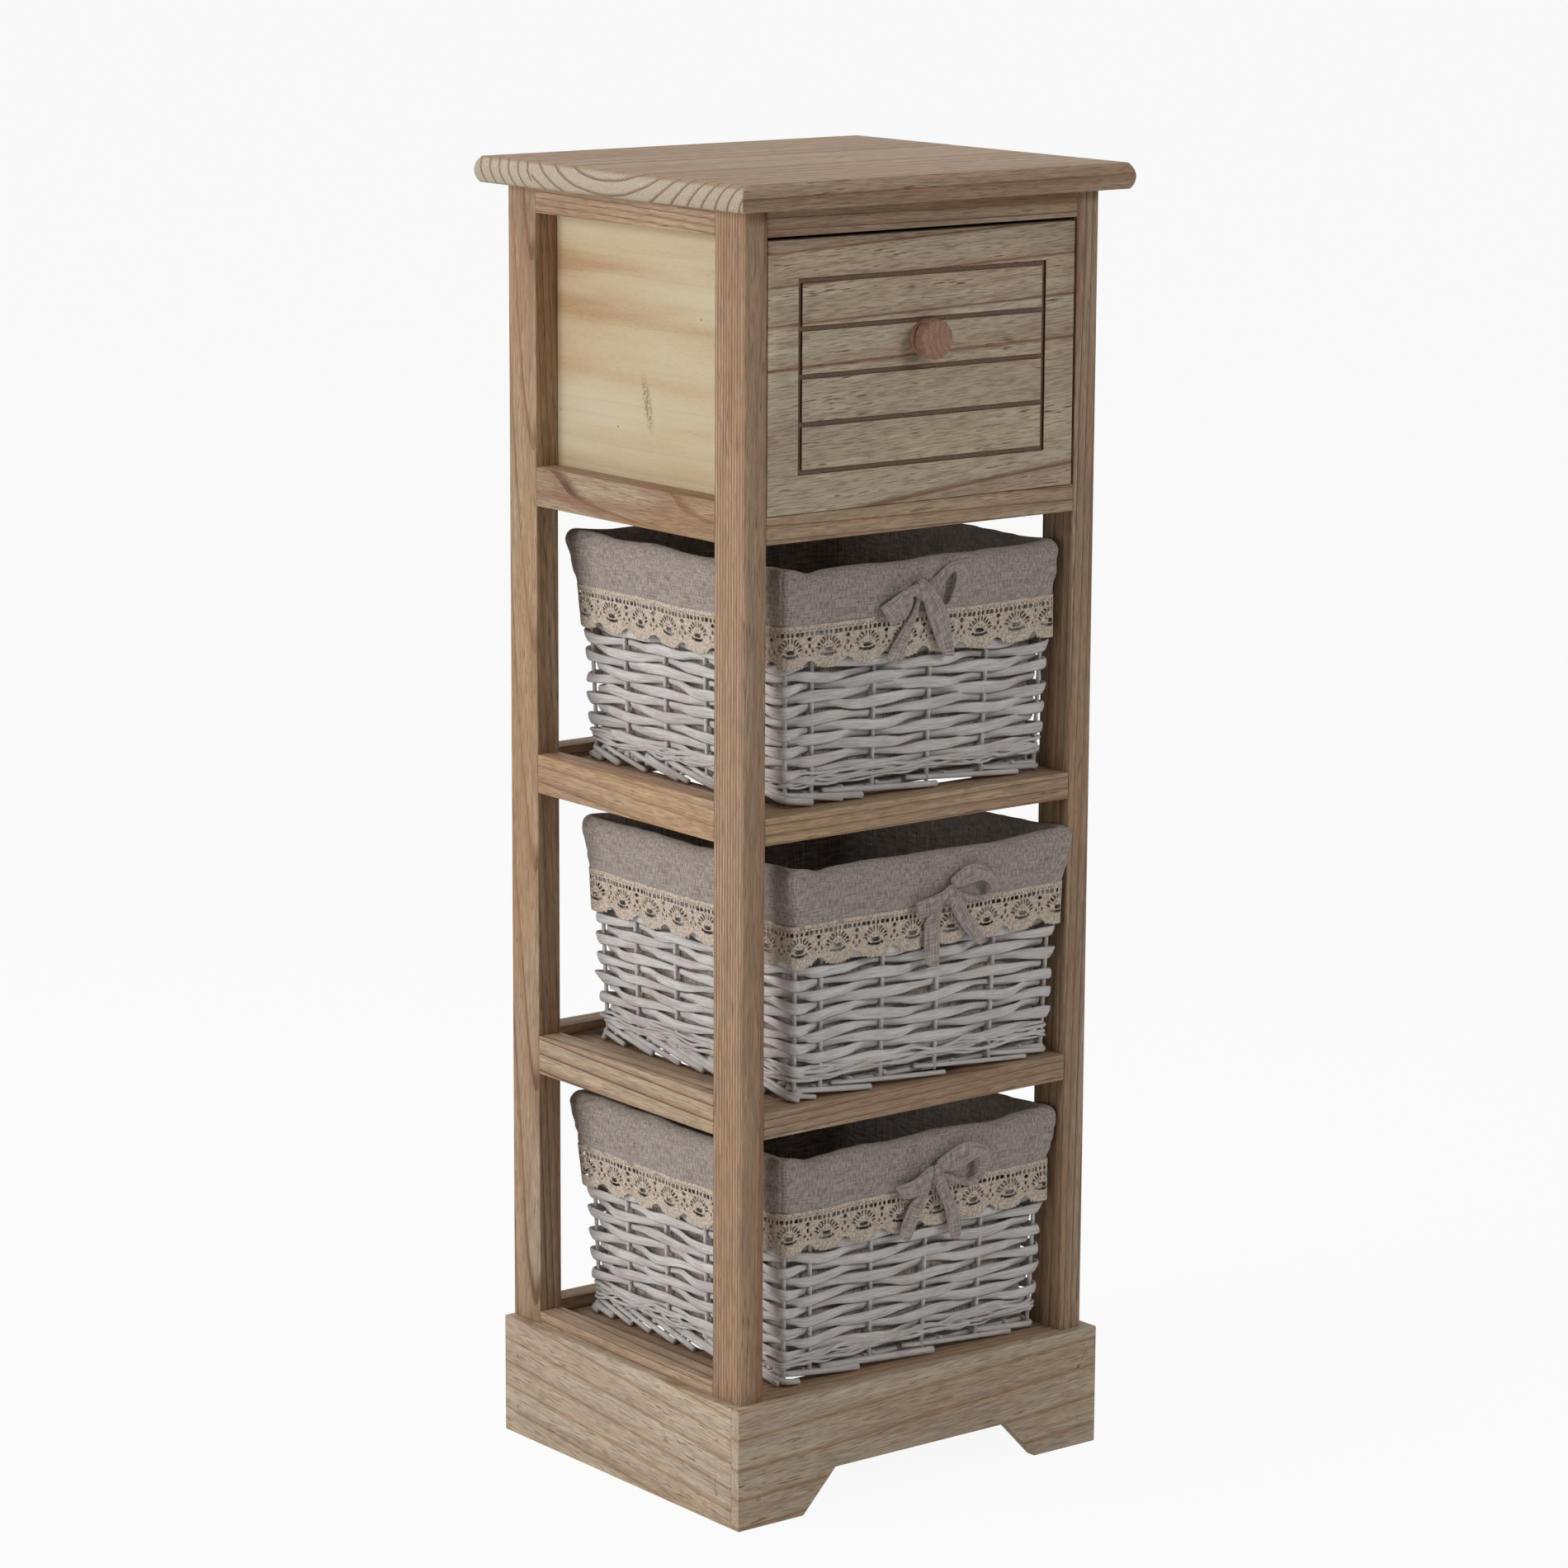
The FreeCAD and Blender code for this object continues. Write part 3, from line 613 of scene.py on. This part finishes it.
def whitewash(name):
    """Whitewashed willow: grey-white with lilac and tan breaking through, streaked along each rod."""
    material, tree, shader = look(name, 0.72, Specular_IOR_Level=0.25)
    uv = node(tree, "UVMap").outputs[0]
    place = node(tree, "TexCoord").outputs["Object"]
    height = node(tree, "SeparateXYZ", {0: place}).outputs["Z"]
    flat = node(tree, "SeparateXYZ", {0: uv}).outputs
    streak_at = node(tree, "CombineXYZ", {"X": flat["X"], "Y": flat["Y"], "Z": height}).outputs[0]
    streak = speckle(tree, stretched(tree, streak_at, (60, 1500, 400)), 1.0, 3, 0.6).outputs["Fac"]
    colour = ramp(tree, streak, [
        (0.25, tint(178, 170, 168)), (0.75, tint(238, 235, 231)), (0.5, tint(218, 213, 209)),
    ])
    strip_tone = speckle(tree, stretched(tree, streak_at, (12, 1, 150)), 1.0, 1).outputs["Fac"]
    colour = mix(tree, 1.0, colour, ramp(tree, strip_tone, [(0.3, 0.86), (0.7, 1.04)]), "MULTIPLY")
    patch = speckle(tree, place, 55, 3).outputs["Color"]
    lilac = ramp(tree, node(tree, "SeparateColor", {0: patch}).outputs[0], [(0.52, 0.0), (0.75, 0.5)])
    tan = ramp(tree, node(tree, "SeparateColor", {0: patch}).outputs[1], [(0.55, 0.0), (0.75, 0.5)])
    colour = mix(tree, lilac, colour, tint(196, 178, 186))
    colour = mix(tree, tan, colour, tint(196, 180, 160))
    tree.links.new(colour, shader.inputs["Base Color"])
    bump = node(tree, "Bump", {"Height": streak, "Strength": 0.5, "Distance": 0.0005})
    tree.links.new(bump.outputs[0], shader.inputs["Normal"])
    return material


def stake_shares():
    """Where the stakes stand, as shares of the way round from the middle of the front, one at each corner."""
    half = foot_width / 2 - foot_corner
    bend = math.pi / 2 * foot_corner
    depth = foot_depth - 2 * foot_corner
    right = [half + bend + depth / 2 + y for y in side_stakes]
    right = [half + bend / 2, *right, half + bend * 1.5 + depth]
    back = [foot_lap / 2 - x for x in reversed(front_stakes)]
    left = [foot_lap - way for way in reversed(right)]
    return sorted(way / foot_lap % 1.0 for way in [*front_stakes, *right, *back, *left])


def swing(share, stakes):
    """Runs between 1 in front of one stake and -1 behind the next."""
    after = bisect.bisect_right(stakes, share % 1.0)
    low = stakes[after - 1] if after else stakes[-1] - 1
    high = stakes[after] if after < len(stakes) else stakes[0] + 1
    wave = math.cos(math.pi * (share % 1.0 - low) / (high - low))
    return wave if after % 2 else -wave


def ring_point(share, radius, height=0.0):
    """A point on a ring in noise, so that a pattern read from it closes without a step."""
    return Vector((math.cos(math.tau * share) * radius, math.sin(math.tau * share) * radius, height))


def wall(share, rise, out=0.0):
    """A point on the middle of a basket's wall, moved outwards, with its foot's middle at the origin."""
    return around(share, wall_middle + wall_growth * rise / wall_height + out, rise)


def weave_row(mesh, row, stakes, seed):
    """One strip all the way round, wider where it bulges over a stake and narrower where it ducks behind."""
    def skin(u, v):
        sway = swing(u, stakes) * (1 if row % 2 else -1)
        jitter = noise.noise(ring_point(u, 4, row * 0.34 + seed))
        stretch = noise.noise(ring_point(u, 6, row * 3.1 + seed))
        tall = strip_height + strip_bulge * sway + strip_unevenness * stretch
        lean = math.cos(math.tau * v)
        deep = math.sin(math.tau * v) * strip_thick / 2
        up = math.copysign(abs(lean) ** 0.8, lean) * tall / 2
        rise = first_row + row_pitch * row + row_wander * jitter
        out = weave_swing * math.copysign(abs(sway) ** 0.75, sway) + deep + up * (0.12 + 0.6 * stretch)
        return wall(u, rise + up, out)

    wrapped(mesh, 232, 8, skin, (foot_lap, 0.016), paced)


def woven_body(name, seed, place):
    """Stakes, woven rows, twined rods, base rods and foot rods of one basket, as one mesh."""
    mesh = bmesh.new()
    pick = random.Random(seed)
    stakes = stake_shares()
    for stake in stakes:
        lean = pick.uniform(-0.001, 0.001)
        rod(mesh, lambda u: wall(stake + lean * (u - 0.5), 0.004 + 0.131 * u), stake_radius, 12)
    for row in range(row_count):
        weave_row(mesh, row, stakes, seed)
    for strand in range(twine_count):
        def twine(u):
            ring = ring_point(u, 5, strand * 5.3 + seed)
            rise = twine_low + twine_pitch * strand + twine_wander * noise.noise(ring)
            return wall(u, rise, 0.0012 + 0.0038 * noise.noise(ring * 1.7))
        thick = 0.0008 + 0.00013 * (strand * 3 % 4)
        wrapped(mesh, 160, 6, ring_skin(twine, thick), (foot_lap, 0.007), paced)
    count = int(2 * base_half / cross_pitch)
    for index in range(count + 1):
        deep = -base_half + 2 * base_half * index / count + pick.uniform(-0.0006, 0.0006)
        slant = pick.uniform(-0.004, 0.004)
        lifted = 0.5 if index % 2 else 0.0

        def base_rod(u):
            across = (u - 0.5) * 0.196
            turn_up = max(0.0, abs(across) - turn_up_from) / 0.004
            return Vector((across, deep + slant * turn_up, base_height * (1 + lifted * turn_up)))
        rod(mesh, base_rod, base_rod_radius, 14)
    for index in range(7):
        across = -0.081 + 0.027 * index

        def cross_rod(u):
            wave = 0.0006 * math.sin(40 * u + index)
            return Vector((across, (u - 0.5) * 0.190, cross_rod_height + wave))
        rod(mesh, cross_rod, cross_rod_radius, 12)
    starts = [
        (-0.106, 0.064, 0.0078), (-0.072, 0.088, 0.0074), (-0.005, 0.086, 0.0076), (0.055, 0.060, 0.0070),
    ]
    way = 0.106
    while way < foot_lap - 0.118:
        starts.append((way, pick.uniform(0.046, 0.066), pick.uniform(0.0094, 0.0125)))
        way += pick.uniform(0.017, 0.027)
    for start, length, top in starts:
        thick = pick.uniform(0.0015, 0.0023)
        outer = pick.uniform(0.0030, 0.0050)

        def foot_rod(u):
            rise = top + (thick - top) * u ** 0.85
            return wall((start + length * u) / foot_lap, rise, -0.0012 + outer * u)
        rod(mesh, foot_rod, thick, 18, 7, length)
    bmesh.ops.translate(mesh, verts=mesh.verts, vec=place)
    basket = name.removesuffix("_woven")
    return finished(name, mesh, willow, basket, "willow", basket + "_wicker")


willow = whitewash("whitewashed_willow")
basket_seeds = {"upper": 3, "middle": 11, "lower": 23}
basket_places = {}
for level in basket_levels:
    low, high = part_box(f"basket_{level}_wicker")
    basket_places[level] = Vector(((low.x + high.x) / 2, (low.y + high.y) / 2, low.z))
for level in basket_levels:
    woven_body(f"basket_{level}_woven", basket_seeds[level], basket_places[level])

# Linings: one bag of washed linen in each basket, turned down over the rim as a cuff and hemmed. It is a
# little loose, so it puckers and its corners stand out; a seam runs down near the front left corner.
linen_thick = 0.0011
cuff_corner = 0.0055
post_gap = 0.0004
post_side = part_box("post_front_right")[0].x - post_gap
post_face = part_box("post_front_right")[0].y - post_gap
thread_pitch = 0.0011
lining_path = [
    (-0.0064, 0.0095), (-0.0060, 0.030), (-0.0055, 0.060), (-0.0048, 0.090), (-0.0040, 0.115),
    (-0.0032, 0.130), (-0.0024, 0.1365), (-0.0010, 0.1405), (0.0010, 0.1427), (0.0032, 0.1428),
    (0.0050, 0.1408), (0.0061, 0.1372), (0.0064, 0.1325), (0.0064, 0.1270), (0.0063, 0.1210),
    (0.0060, 0.1150), (0.0057, 0.1115), (0.0052, 0.1085),
]
floor_shrinks = (0.0, 0.3, 0.6, 0.85)
corner_shares = (0.127, 0.373, 0.627, 0.873)
corner_flares = {
    "upper": (0.0022, 0.0020, 0.0058, 0.0012), "middle": (0.0045, 0.0020, 0.0040, 0.0022),
    "lower": (0.0034, 0.0020, 0.0044, 0.0016),
}
seam_share = 0.873
dip_share = 0.893
billow_depth = 0.0022
pucker_depth = 0.0013
crease_depth = 0.0010


def linen(name):
    """Washed linen: warp and weft threads of uneven thickness, paler on top and dark between."""
    material, tree, shader = look(name, 0.9, Specular_IOR_Level=0.1, Sheen_Weight=0.25, Sheen_Roughness=0.6)
    uv = node(tree, "UVMap").outputs[0]
    flat = node(tree, "SeparateXYZ", {0: uv})
    threads = []
    for way in ("X", "Y"):
        turn = node(tree, "Math", {0: flat.outputs[way], 1: math.tau / thread_pitch}, operation="MULTIPLY")
        threads.append(node(tree, "Math", {0: turn.outputs[0]}, operation="SINE").outputs[0])
    weave = node(tree, "Math", {0: threads[0], 1: threads[1]}, operation="MULTIPLY").outputs[0]
    weave = node(tree, "Math", {0: weave, 1: 0.5, 2: 0.5}, operation="MULTIPLY_ADD").outputs[0]
    warp = speckle(tree, stretched(tree, uv, (90, 1100, 1)), 1.0, 2, 0.6).outputs["Fac"]
    weft = speckle(tree, stretched(tree, uv, (1100, 90, 1)), 1.0, 2, 0.6).outputs["Fac"]
    slub = node(tree, "Math", {0: warp, 1: weft}, operation="ADD").outputs[0]
    slub = node(tree, "Math", {0: slub, 1: 0.5}, operation="MULTIPLY").outputs[0]
    colour = ramp(tree, slub, [(0.41, linen_dark), (0.59, linen_light)])
    colour = mix(tree, 1.0, colour, ramp(tree, weave, [(0.0, 0.86), (1.0, 1.05)]), "MULTIPLY")
    tree.links.new(colour, shader.inputs["Base Color"])
    relief = node(tree, "Math", {0: weave, 1: slub}, operation="ADD").outputs[0]
    bump = node(tree, "Bump", {"Height": relief, "Strength": 0.35, "Distance": 0.0004})
    tree.links.new(bump.outputs[0], shader.inputs["Normal"])
    return material


def apart(share, other):
    """How far two shares of the way round lie from each other."""
    return abs((share - other + 0.5) % 1.0 - 0.5)


def grown(rise, start, over):
    """Grows from 0 to 1 as the rise passes a start."""
    return min(1.0, max(0.0, (rise - start) / over))


def near_corner(share, sizes=(1, 1, 1, 1), reach=0.020):
    """Each corner's size, from the front right one on, at that corner, falling to 0 along the sides."""
    total = 0.0
    for corner, size in zip(corner_shares, sizes):
        total += size * math.exp(-(apart(share, corner) / reach) ** 2)
    return total


def pucker(share, rise, seed):
    """How far loose cloth stands out at a place: slow billows, small puckers and slanting creases."""
    ring = ring_point(share, 1)
    crease = ring_point(share + 14 * rise / math.tau, 13, rise * 30 + seed * 3)
    billow = noise.noise(ring * 4.5 + Vector((0, 0, rise * 9 + seed)))
    small = noise.noise(ring * 11 + Vector((0, 0, rise * 26 + seed * 2)))
    return billow_depth * billow + pucker_depth * small + crease_depth * noise.noise(crease)


def kept_clear(point):
    """Cloth that would enter the right-hand posts rests against them instead."""
    if point.x > post_side and point.y > post_face:
        point.x = post_side
    return point


def smoothed(points):
    """The points with one more between each two, so that the line through them turns evenly."""
    ends = [points[0], *points, points[-1]]
    line = []
    for before, here, after, beyond in zip(ends, ends[1:], ends[2:], ends[3:]):
        line.append(here)
        line.append(tuple((9 * (b + c) - a - d) / 16 for a, b, c, d in zip(before, here, after, beyond)))
    return line + [points[-1]]


def thicken(piece, thickness, offset=-1):
    """Gives a cloth its thickness, to the inside of the face that shows."""
    wall_maker = piece.modifiers.new("thickness", "SOLIDIFY")
    wall_maker.thickness = thickness
    wall_maker.offset = offset
    wall_maker.use_rim = True


def lined(level, place):
    """The lining with its cuff: floor, inner wall, rolled rim and outer hem in one sheet."""
    mesh = bmesh.new()
    seed = basket_seeds[level]
    profile = smoothed(lining_path)
    rows = len(floor_shrinks) + len(profile) - 1

    def skin(u, v):
        row = min(round(v * rows), rows)
        if row < len(floor_shrinks):
            inside = around(u, lining_path[0][0], 0, cuff_corner)
            return place + inside * floor_shrinks[row] + Vector((0, 0, lining_path[0][1]))
        out, rise = profile[row - len(floor_shrinks)]
        out += pucker(u, rise, seed) * grown(rise, 0.02, 0.06)
        if row > len(floor_shrinks) + 11:
            high = grown(rise, 0.108, 0.030)
            out += near_corner(u, corner_flares[level]) * high ** 1.5
            rise += 0.0016 * near_corner(u) * high
            sag = noise.noise(ring_point(u, 3, seed * 1.3))
            rise += (0.0022 * sag - 0.0008) * grown(rise, 0.125, 0.015)
            out -= 0.0004 * math.exp(-(apart(u, seam_share) / 0.0013) ** 2)
        dip = math.exp(-(apart(u, dip_share) / 0.008) ** 2)
        rise -= 0.0018 * dip * grown(rise, 0.128, 0.012)
        return kept_clear(place + around(u, out, rise, cuff_corner))

    wrapped(mesh, 344, rows, skin, (0.79, 0.26), paced)
    piece = finished(f"basket_{level}_cloth", mesh, linen_cloth, f"basket_{level}", "linen",
                     f"basket_{level}_lining")
    thicken(piece, linen_thick)
    return piece


linen_light = tint(194, 183, 174)
linen_dark = tint(134, 120, 111)
linen_cloth = linen("washed_linen")
for level in basket_levels:
    lined(level, basket_places[level])

# Lace: a band of cream cotton crochet sewn over the cuff's hem, with small squares under its edge, fans of
# spokes, a long slot at the foot of each fan, and a scalloped lower edge with loops of thread.
lace_top = 0.1110
lace_height = 0.0270
lace_thick = 0.0007
fan_count = 29
fan_width = 0.0282
lace_columns = 34
lace_rows = 33


def openwork(across, down):
    """Whether the crochet is open at a place, in millimetres from a fan's middle and from the top edge."""
    side = abs(across) - fan_width * 500
    # Two rows of small holes under the edge.
    if 2.2 < down < 3.0:
        return abs(across / 2.35 % 1 - 0.5) < 0.2
    if 4.4 < down < 6.2:
        return abs(across / 3.525 % 1 - 0.5) < 0.28
    # The spokes of a fan, in two rings round its foot.
    reach = math.hypot(across, 16.4 - down)
    angle = math.atan2(across, 16.4 - down)
    if 5.6 < reach < 9.3 and abs(angle) < 1.4:
        return abs((angle / 0.30) % 1 - 0.5) < 0.17 + 0.012 * reach
    if 3.3 < reach < 4.7 and abs(angle) < 1.2:
        return abs((angle / 0.62) % 1 - 0.5) < 0.2
    # A lens and a curved slot at the fan's foot.
    if 14.9 < down < 17.1 and abs(across) < 3.2 - abs(down - 16.0):
        return True
    if abs(down - 18.7 + 0.025 * across ** 2) < 0.75 and abs(across) < 5.6:
        return True
    # Round holes between two fans, and the notch under them.
    if math.hypot(side, down - 8.4) < 1.3 or math.hypot(side, down - 12.4) < 1.2:
        return True
    if math.hypot(abs(side) - 2.3, down - 16.0) < 0.9 or math.hypot(side, down - 18.4) < 0.9:
        return True
    if abs(side) < 5.6 and down > 22.2 + 4.0 * (side / 5.6) ** 2:
        return True
    # Loops of thread along the lower edge.
    edge = 25.6 + 0.8 * math.cos(math.tau * across / (fan_width * 1000))
    return down > edge + 0.9 * abs(math.sin(math.pi * across / 2.35))


def laced(level, place):
    """The lace band: a fine grid with the open places taken out, its cut edges rounded off."""
    mesh = bmesh.new()
    seed = basket_seeds[level]

    def skin(u, v):
        down = (1 - v) * lace_height
        ring = ring_point(u, 6, seed)
        flutter = 0.0006 * math.sin(math.tau * fan_count * u + seed) * (1 - v) + 0.0006 * noise.noise(ring)
        flutter += pucker(u, lace_top, seed) * (0.35 + 0.65 * v)
        rise = lace_top - down + 0.0009 * noise.noise(ring * 0.6)
        out = 0.0070 - 0.0012 * (1 - v) + flutter
        return kept_clear(place + around(u, out, rise, cuff_corner))

    columns = fan_count * lace_columns
    uv = mesh.loops.layers.uv.verify()
    wrapped(mesh, columns, lace_rows, skin)
    gaps = []
    for face in mesh.faces:
        corners = [loop[uv].uv for loop in face.loops]
        share = sum(corner[0] for corner in corners) / len(corners)
        height = sum(corner[1] for corner in corners) / len(corners)
        across = ((share * fan_count) % 1 - 0.5) * fan_width * 1000
        if openwork(across, (1 - height) * lace_height * 1000):
            gaps.append(face)
    bmesh.ops.delete(mesh, geom=gaps, context="FACES")
    rim = [vert for vert in mesh.verts if vert.is_boundary]
    bmesh.ops.smooth_vert(mesh, verts=rim, factor=0.4, use_axis_x=True, use_axis_y=True, use_axis_z=True)
    for face in mesh.faces:
        for loop in face.loops:
            loop[uv].uv = (loop[uv].uv[0] * fan_count * fan_width, loop[uv].uv[1] * lace_height)
    piece = finished(f"basket_{level}_crochet", mesh, crochet, f"basket_{level}", "cotton_lace",
                     f"basket_{level}_lace")
    thicken(piece, lace_thick)
    return piece


def cotton(name):
    """Crocheted cotton: cream thread with shaded loops about a millimetre across."""
    material, tree, shader = look(name, 0.9, Specular_IOR_Level=0.1, Sheen_Weight=0.2)
    uv = node(tree, "UVMap").outputs[0]
    knots = node(tree, "TexVoronoi", {"Vector": uv, "Scale": 760}).outputs["Distance"]
    cloud = speckle(tree, uv, 400, 3, 0.6).outputs["Fac"]
    colour = ramp(tree, knots, [(0.05, lace_light), (0.75, lace_dark)])
    colour = mix(tree, 1.0, colour, ramp(tree, cloud, [(0.3, 0.88), (0.7, 1.06)]), "MULTIPLY")
    tree.links.new(colour, shader.inputs["Base Color"])
    height = node(tree, "Math", {0: 1.0, 1: knots}, operation="SUBTRACT").outputs[0]
    bump = node(tree, "Bump", {"Height": height, "Strength": 0.6, "Distance": 0.0006})
    tree.links.new(bump.outputs[0], shader.inputs["Normal"])
    return material


lace_light = tint(240, 226, 210)
lace_dark = tint(186, 168, 150)
crochet = cotton("cream_crochet")
for level in basket_levels:
    laced(level, basket_places[level])

# Bows: a band of the same linen tied on the front of each cuff, its knot over the lace's top edge. Both loops
# stand out from the cuff and droop, and the two tails hang over the lace. No two are tied alike.
bow_thick = 0.0009
knot_half = Vector((0.0048, 0.0032, 0.0062))
bow_knots = {"upper": (0.0016, 0.5601), "middle": (0.0208, 0.3711), "lower": (0.0171, 0.1947)}
bow_parts = {
    "upper": {
        "left_loop": [
            (-3.0, 5.0, -1.8, -2.1, 6.0), (-11.0, 3.9, -8.0, -2.6, 8.5), (-18.3, 1.8, -13.2, -3.3, 9.5),
            (-27.0, -3.2, -16.5, -10.0, 8.0), (-32.8, -7.7, -26.8, -18.6, 5.0), (-29.5, -8.5, -19.5, -20.0, 3.0),
            (-18.0, -3.0, -10.8, -18.5, 2.2), (-4.0, 0.0, -5.0, -10.5, 3.0),
        ],
        "left_tail": [
            (-2.4, -1.0, 0.4, -2.0, 4.0), (-3.5, -10.0, -0.6, -11.5, 4.0), (-9.5, -18.5, -3.8, -20.0, 3.0),
            (-16.5, -27.1, -7.5, -30.0, 2.2), (-27.3, -41.0, -11.9, -45.5, 2.6),
        ],
        "right_tail": [
            (-3.5, -1.5, -1.5, 8.2, 6.2), (0.6, -7.5, 6.6, 3.2, 7.0), (3.9, -15.5, 15.6, -6.1, 5.2),
            (10.2, -26.5, 23.1, -16.7, 3.4), (14.5, -35.0, 26.6, -30.9, 2.4), (19.0, -42.4, 29.5, -44.6, 2.6),
        ],
        "right_loop": [
            (4.0, 2.6, 8.0, -4.0, 2.6), (10.8, 6.2, 15.2, -3.0, 3.4), (16.6, 11.6, 18.6, 2.8, 5.0),
            (24.6, 18.4, 21.5, 9.8, 8.0), (33.9, 11.6, 24.8, 9.4, 9.5), (32.8, 2.4, 24.2, 1.0, 8.0),
            (28.2, -7.4, 21.5, -6.6, 6.0), (23.8, -16.1, 20.6, -13.5, 4.0), (12.0, -9.0, 10.0, -4.0, 2.2),
        ],
    },
    "middle": {
        "left_loop": [
            (-0.1, 7.1, -2.0, -0.5, 5.5), (-9.8, 4.0, -10.0, -4.0, 8.0), (-20.0, 1.6, -19.0, -7.8, 8.0),
            (-29.4, -0.6, -28.4, -9.3, 5.0), (-24.0, -3.0, -20.7, -12.7, 3.0), (-12.0, -1.0, -8.8, -9.0, 2.4),
            (-3.0, 3.0, -4.4, -5.3, 3.0),
        ],
        "left_tail": [
            (-6.0, 1.5, -1.5, -0.5, 3.6), (-13.0, -5.5, -4.5, -5.0, 3.4), (-19.2, -14.0, -5.9, -11.0, 2.6),
            (-19.0, -25.7, -5.7, -24.0, 2.0), (-18.1, -42.4, -6.1, -45.3, 2.6),
        ],
        "right_tail": [
            (-3.0, -1.0, 0.0, 7.5, 6.0), (-1.5, -7.5, 5.0, 2.6, 6.6), (6.3, -17.4, 13.5, -9.5, 4.4),
            (15.4, -27.6, 20.6, -20.5, 3.0), (24.6, -35.4, 31.4, -33.4, 2.8),
        ],
        "right_loop": [
            (-0.9, 10.0, 3.0, 3.0, 4.0), (5.8, 14.6, 8.5, 4.6, 5.2), (12.5, 18.6, 13.8, 5.6, 7.0),
            (21.4, 18.9, 19.5, 8.2, 9.0), (31.5, 10.0, 27.6, 5.3, 8.5), (38.9, 1.6, 32.4, 0.6, 6.5),
            (34.0, -6.4, 27.0, -4.0, 4.2), (19.0, -8.0, 15.0, -2.0, 2.4), (5.0, -3.0, 5.0, 4.0, 2.0),
        ],
    },
    "lower": {
        "left_loop": [
            (-3.1, 7.2, -3.6, -1.0, 5.5), (-12.2, 7.1, -9.0, -3.6, 9.0), (-19.0, 0.8, -15.6, -10.3, 8.5),
            (-27.8, -0.8, -24.0, -12.0, 6.0), (-34.9, -3.5, -28.6, -10.6, 4.0), (-26.0, -4.0, -19.4, -13.2, 2.6),
            (-8.0, -2.0, -9.0, -11.0, 2.4),
        ],
        "left_tail": [
            (-4.0, 0.0, -1.0, -2.0, 3.6), (-11.0, -9.5, -4.0, -8.5, 3.6), (-18.8, -14.5, -8.5, -19.0, 2.8),
            (-24.2, -23.5, -12.5, -28.5, 2.2), (-28.9, -36.0, -19.1, -41.4, 2.8),
        ],
        "right_tail": [
            (-4.0, -1.0, 1.5, 6.5, 6.0), (-1.8, -8.5, 5.8, -2.5, 6.2), (3.2, -16.5, 11.0, -12.5, 4.4),
            (8.7, -24.5, 17.2, -21.5, 3.0), (11.1, -35.9, 23.0, -33.0, 2.2), (13.5, -44.8, 21.2, -46.2, 2.8),
        ],
        "right_loop": [
            (-1.6, 8.1, 3.0, 1.0, 4.0), (8.9, 14.0, 11.0, -0.5, 5.5), (19.8, 19.0, 19.0, 2.6, 8.0),
            (33.6, 17.0, 26.6, 6.6, 9.0), (40.2, 8.5, 32.6, 7.4, 8.5), (39.4, -3.8, 31.6, -1.8, 6.5),
            (32.2, -14.2, 26.5, -10.6, 4.5), (18.0, -10.0, 16.0, -4.0, 2.6), (5.0, -4.0, 4.0, 2.0, 2.2),
        ],
    },
}


def tie(mesh, stations, knot):
    """A length of band through stations, each its two edges and how far it stands off the cuff, in mm."""
    last = len(stations) - 1

    def skin(u, v):
        x1, z1, x2, z2, lift = stations[min(round(u * last), last)]
        crown = 0.7 * math.sin(math.pi * v)
        x = x1 + (x2 - x1) * v
        z = z1 + (z2 - z1) * v
        return knot + Vector((x, -lift - crown, z)) / 1000

    wrapped(mesh, last, 3, skin, (0.009 * last, 0.012))


def bow(level):
    """One bow: two loops, two tails and the turn of band that makes its knot."""
    x, z = bow_knots[level]
    front = basket_places[level].y - foot_depth / 2 - 0.0066
    knot = Vector((x, front, z))
    mesh = bmesh.new()
    for stations in bow_parts[level].values():
        tie(mesh, stations, knot)

    def turn(u, v):
        across = 2 * v - 1
        girth = math.sqrt(max(0.0, 1 - across ** 4)) * (1 + 0.10 * math.sin(5 * math.tau * u + 3 * across))
        spot = Vector((across * knot_half.x, math.cos(math.tau * u) * knot_half.y * girth,
                       math.sin(math.tau * u) * knot_half.z * girth))
        return knot + Vector((0, -0.0050, 0)) + spot

    wrapped(mesh, 16, 6, turn, (0.04, 0.01))
    piece = finished(f"basket_{level}_ribbon", mesh, linen_cloth, f"basket_{level}", "linen",
                     f"basket_{level}_bow")
    thicken(piece, bow_thick, 0)
    rounder = piece.modifiers.new("rounder", "SUBSURF")
    rounder.levels = 2
    rounder.render_levels = 2
    return piece


for level in basket_levels:
    bow(level)
